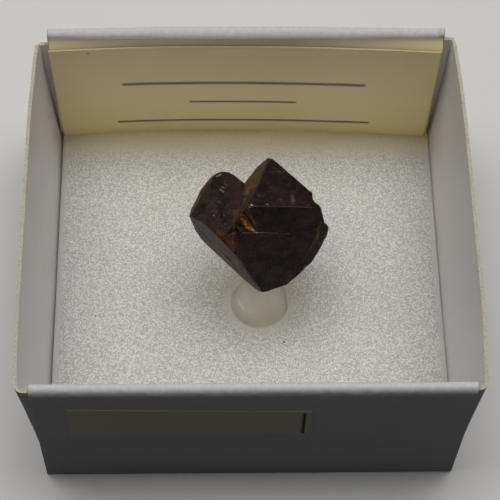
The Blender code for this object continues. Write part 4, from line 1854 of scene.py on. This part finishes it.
@dataclass
class BackingSheet(PaperLabel):
    """A second sheet of the same paper behind the label, coloured darker than the label as painted shade; its
    top bends back under the wall's fold.
    """

    name: str = "backing_card"
    node: str = "backing_sheet"
    slot: str = "backing_paper"
    # darker copy of the label's paper colours: painted shade
    finish: PaperFinish = field(
        default_factory=lambda: PaperFinish(
            "backing_shaded_face", (0.80, 0.69, 0.39), (0.77, 0.665, 0.37), gloss=0.5, fade=(19.5, 20.0)
        )
    )
    thickness: float = 0.04
    ends: Band = (-20.85, 20.6)
    bottom: float = 3.3
    bend: float = 18.75
    top: float = 20.05
    wall_y: float = 19.77
    gap: float = 0.03
    bend_start: float = 0.1
    columns: int = 120
    rows: tuple[int, int] = (24, 12)
    bend_step: float = 0.12
    wave: Ripple = Ripple(0.01, (0.2, 0.2), (8.0,))
    front: LocalityLabel = field(default_factory=LocalityLabel)

    def depth(self, x: float, z: float) -> float:
        """Distance back of the sheet at a place."""
        near = self.front.depth(x) + self.front.thickness / 2 + self.thickness / 2 + self.gap
        share = float(smooth(z, self.bend - self.bend_start, self.top))
        return min(near + (self.wall_y - near) * share, self.wall_y)

    def build(self) -> bpy.types.Object:
        """Builds the sheet."""
        heights = list(np.linspace(self.bottom, self.bend, self.rows[0]))
        heights += list(np.linspace(self.bend + self.bend_step, self.top, self.rows[1]))
        across = np.linspace(*self.ends, self.columns)
        points = [(x, self.depth(x, z) + self.wave.at(x, z), z) for z in heights for x in across]
        return self.sheet(points, self.columns, len(heights), [0.0] * len(points))


@dataclass
class NumberLabel(PaperLabel):
    """The small sticker on the front wall."""

    name: str = "number_sticker"
    node: str = "number_label"
    slot: str = "number_paper"
    finish: PaperFinish = field(
        default_factory=lambda: PaperFinish("number_face", (0.90, 0.805, 0.66), (0.85, 0.755, 0.61))
    )
    thickness: float = 0.1
    left: float = -17.7
    right: float = 5.57
    bottom: float = 10.3
    top: float = 16.7
    slope: float = -0.03
    face_y: float = -20.96
    pitch: float = 0.14
    bar: tuple[float, float, float, float] = (4.78, 5.02, 10.8, 15.7)
    bar_edge: float = 0.1

    def ink(self, x: float, z: float) -> float:
        """How much ink the printed bar leaves at a place."""
        start, end, low, high = self.bar
        soft = self.bar_edge
        across = smooth(x, start - soft, start) * (1.0 - smooth(x, end, end + soft))
        along = smooth(z, low - soft, low) * (1.0 - smooth(z, high, high + soft))
        return float(across * along)

    def build(self) -> bpy.types.Object:
        """Builds the sticker."""
        columns = int((self.right - self.left) / self.pitch)
        rows = int((self.top - self.bottom) / self.pitch)
        points, ink = [], []
        for share in np.linspace(0.0, 1.0, rows):
            for x in np.linspace(self.left, self.right, columns):
                top = self.top + self.slope * (x - self.left)
                z = self.bottom + (top - self.bottom) * share
                points.append((x, self.face_y, z))
                ink.append(self.ink(x, z))
        return self.sheet(points, columns, rows, ink)


@dataclass
class LooseGrains:
    """Grains of dust and a chip that lie on the foam."""

    spots: tuple[tuple[float, float, float, str], ...] = (
        (284.2, 342.4, 0.10, "red"),
        (95.6, 316.0, 0.09, "brown"),
        (64.0, 137.5, 0.12, "pale"),
    )
    tones: dict[str, tuple[Colour, Colour]] = field(
        default_factory=lambda: {
            "red": ((0.16, 0.04, 0.03), (0.07, 0.02, 0.015)),
            "brown": ((0.20, 0.13, 0.08), (0.11, 0.07, 0.04)),
            "pale": ((0.85, 0.82, 0.76), (0.7, 0.66, 0.6)),
        }
    )
    lumps: Ripple = Ripple(0.35, (1.3, 1.3, 1.3))
    flatness: float = 0.7
    rest: float = 0.45
    fineness: int = 3

    def build(self, pad: bpy.types.Object, eye: Eye) -> None:
        """Lays the grains on the pad.

        Args:
            pad: The foam pad.
            eye: The photograph's point of view.
        """
        bm = bmesh.new()
        bm.from_mesh(pad.data)
        tree = BVHTree.FromBMesh(bm)
        bm.free()
        for index, (column, row, radius, tone) in enumerate(self.spots):
            hit = eye.land(tree, (column, row))
            if hit:
                self.grain(index, hit[0], radius, tone)

    def grain(self, index: int, place: Vector, radius: float, tone: str) -> None:
        """Makes one uneven grain.

        Args:
            index: Number of the grain.
            place: Where it lies, in metres.
            radius: Its radius in millimetres.
            tone: Its colour's name.
        """
        bm = bmesh.new()
        bmesh.ops.create_icosphere(bm, subdivisions=self.fineness, radius=radius * MM)
        for vert in bm.verts:
            x, y, z = (value / (radius * MM) for value in vert.co)
            vert.co *= 1 + self.lumps.at(x + index / self.lumps.paces[0], y, z)
            vert.co.z *= self.flatness
        mesh = bpy.data.meshes.new(f"loose_grain_{index}")
        bm.to_mesh(mesh)
        bm.free()
        mesh.transform(Matrix.Translation(place + Vector((0, 0, radius * self.rest * MM))))
        mesh.materials.append(GrainFinish(f"grain_{tone}", *self.tones[tone]).make())
        mesh.shade_smooth()
        piece = bpy.data.objects.new(f"loose_grain_{index}", mesh)
        bpy.context.scene.collection.objects.link(piece)
        settle(piece, "magnetite")


@dataclass
class Studio:
    """Plain pale floor, one large soft overhead lamp and a faint fill."""

    floor_half: float = 1500.0
    lamp_distance: float = 600.0
    lamp_size: Band = (660.0, 340.0)
    lamp_from: Triple = (-0.01, 0.175, 0.98)
    lamp_power: float = 3.40
    fill: float = 0.040
    pale: Colour = (0.70, 0.70, 0.69)
    bounce: Colour = (0.055, 0.055, 0.059)
    roughness: float = 0.9
    lamp_colour: Colour = (1.0, 0.987, 0.968)
    backdrop: Colour = (0.87, 0.86, 0.86)
    backdrop_strength: float = 0.6

    def floor(self) -> None:
        """Lays the floor."""
        half = self.floor_half
        points = [(-half, -half, 0.0), (half, -half, 0.0), (half, half, 0.0), (-half, half, 0.0)]
        wires = Wiring("studio_floor")
        seen = wires.nodes.new("ShaderNodeLightPath").outputs["Is Camera Ray"]
        colour = wires.mix(seen, self.bounce, self.pale)
        finish = wires.finish(Base_Color=colour, Roughness=self.roughness)
        floor = new_piece("studio_floor", points, [(0, 1, 2, 3)], [finish])

    def lamp(self) -> None:
        """Hangs the lamp and points it at the tray."""
        data = bpy.data.lights.new("soft_panel", "AREA")
        data.shape = "RECTANGLE"
        data.size, data.size_y = (size * MM for size in self.lamp_size)
        data.energy = self.lamp_power
        data.color = self.lamp_colour
        item = bpy.data.objects.new("soft_panel", data)
        away = Vector(self.lamp_from).normalized()
        item.location = away * self.lamp_distance * MM
        item.rotation_euler = away.to_track_quat("Z", "Y").to_euler()
        bpy.context.scene.collection.objects.link(item)

    def surround(self) -> None:
        """Sets the faint fill and the pale backdrop."""
        world = bpy.data.worlds.new("surround")
        world.use_nodes = True
        bpy.context.scene.world = world
        nodes, links = world.node_tree.nodes, world.node_tree.links
        seen = nodes.new("ShaderNodeLightPath").outputs["Is Camera Ray"]
        back = nodes["Background"]
        back.inputs["Color"].default_value = (*self.backdrop, 1.0)
        strength = nodes.new("ShaderNodeMix")
        links.new(seen, strength.inputs[0])
        strength.inputs[2].default_value = self.fill
        strength.inputs[3].default_value = self.backdrop_strength
        links.new(strength.outputs[0], back.inputs["Strength"])

    def build(self) -> None:
        """Sets up the whole studio."""
        self.floor()
        self.lamp()
        self.surround()
        bpy.context.scene.view_settings.view_transform = "Standard"


def main() -> None:
    """Builds every piece in order."""
    logging.basicConfig(level=logging.INFO, format="%(name)s %(message)s")
    eye = Eye()
    eye.camera()
    Studio().build()
    CardTray().build()
    pad = FoamPad().build()
    CrystalGroup().build(eye)
    SpecimenPeg().build(eye)
    LocalityLabel().build()
    BackingSheet().build()
    NumberLabel().build()
    LooseGrains().build(pad, eye)


if __name__ == "__main__":
    main()
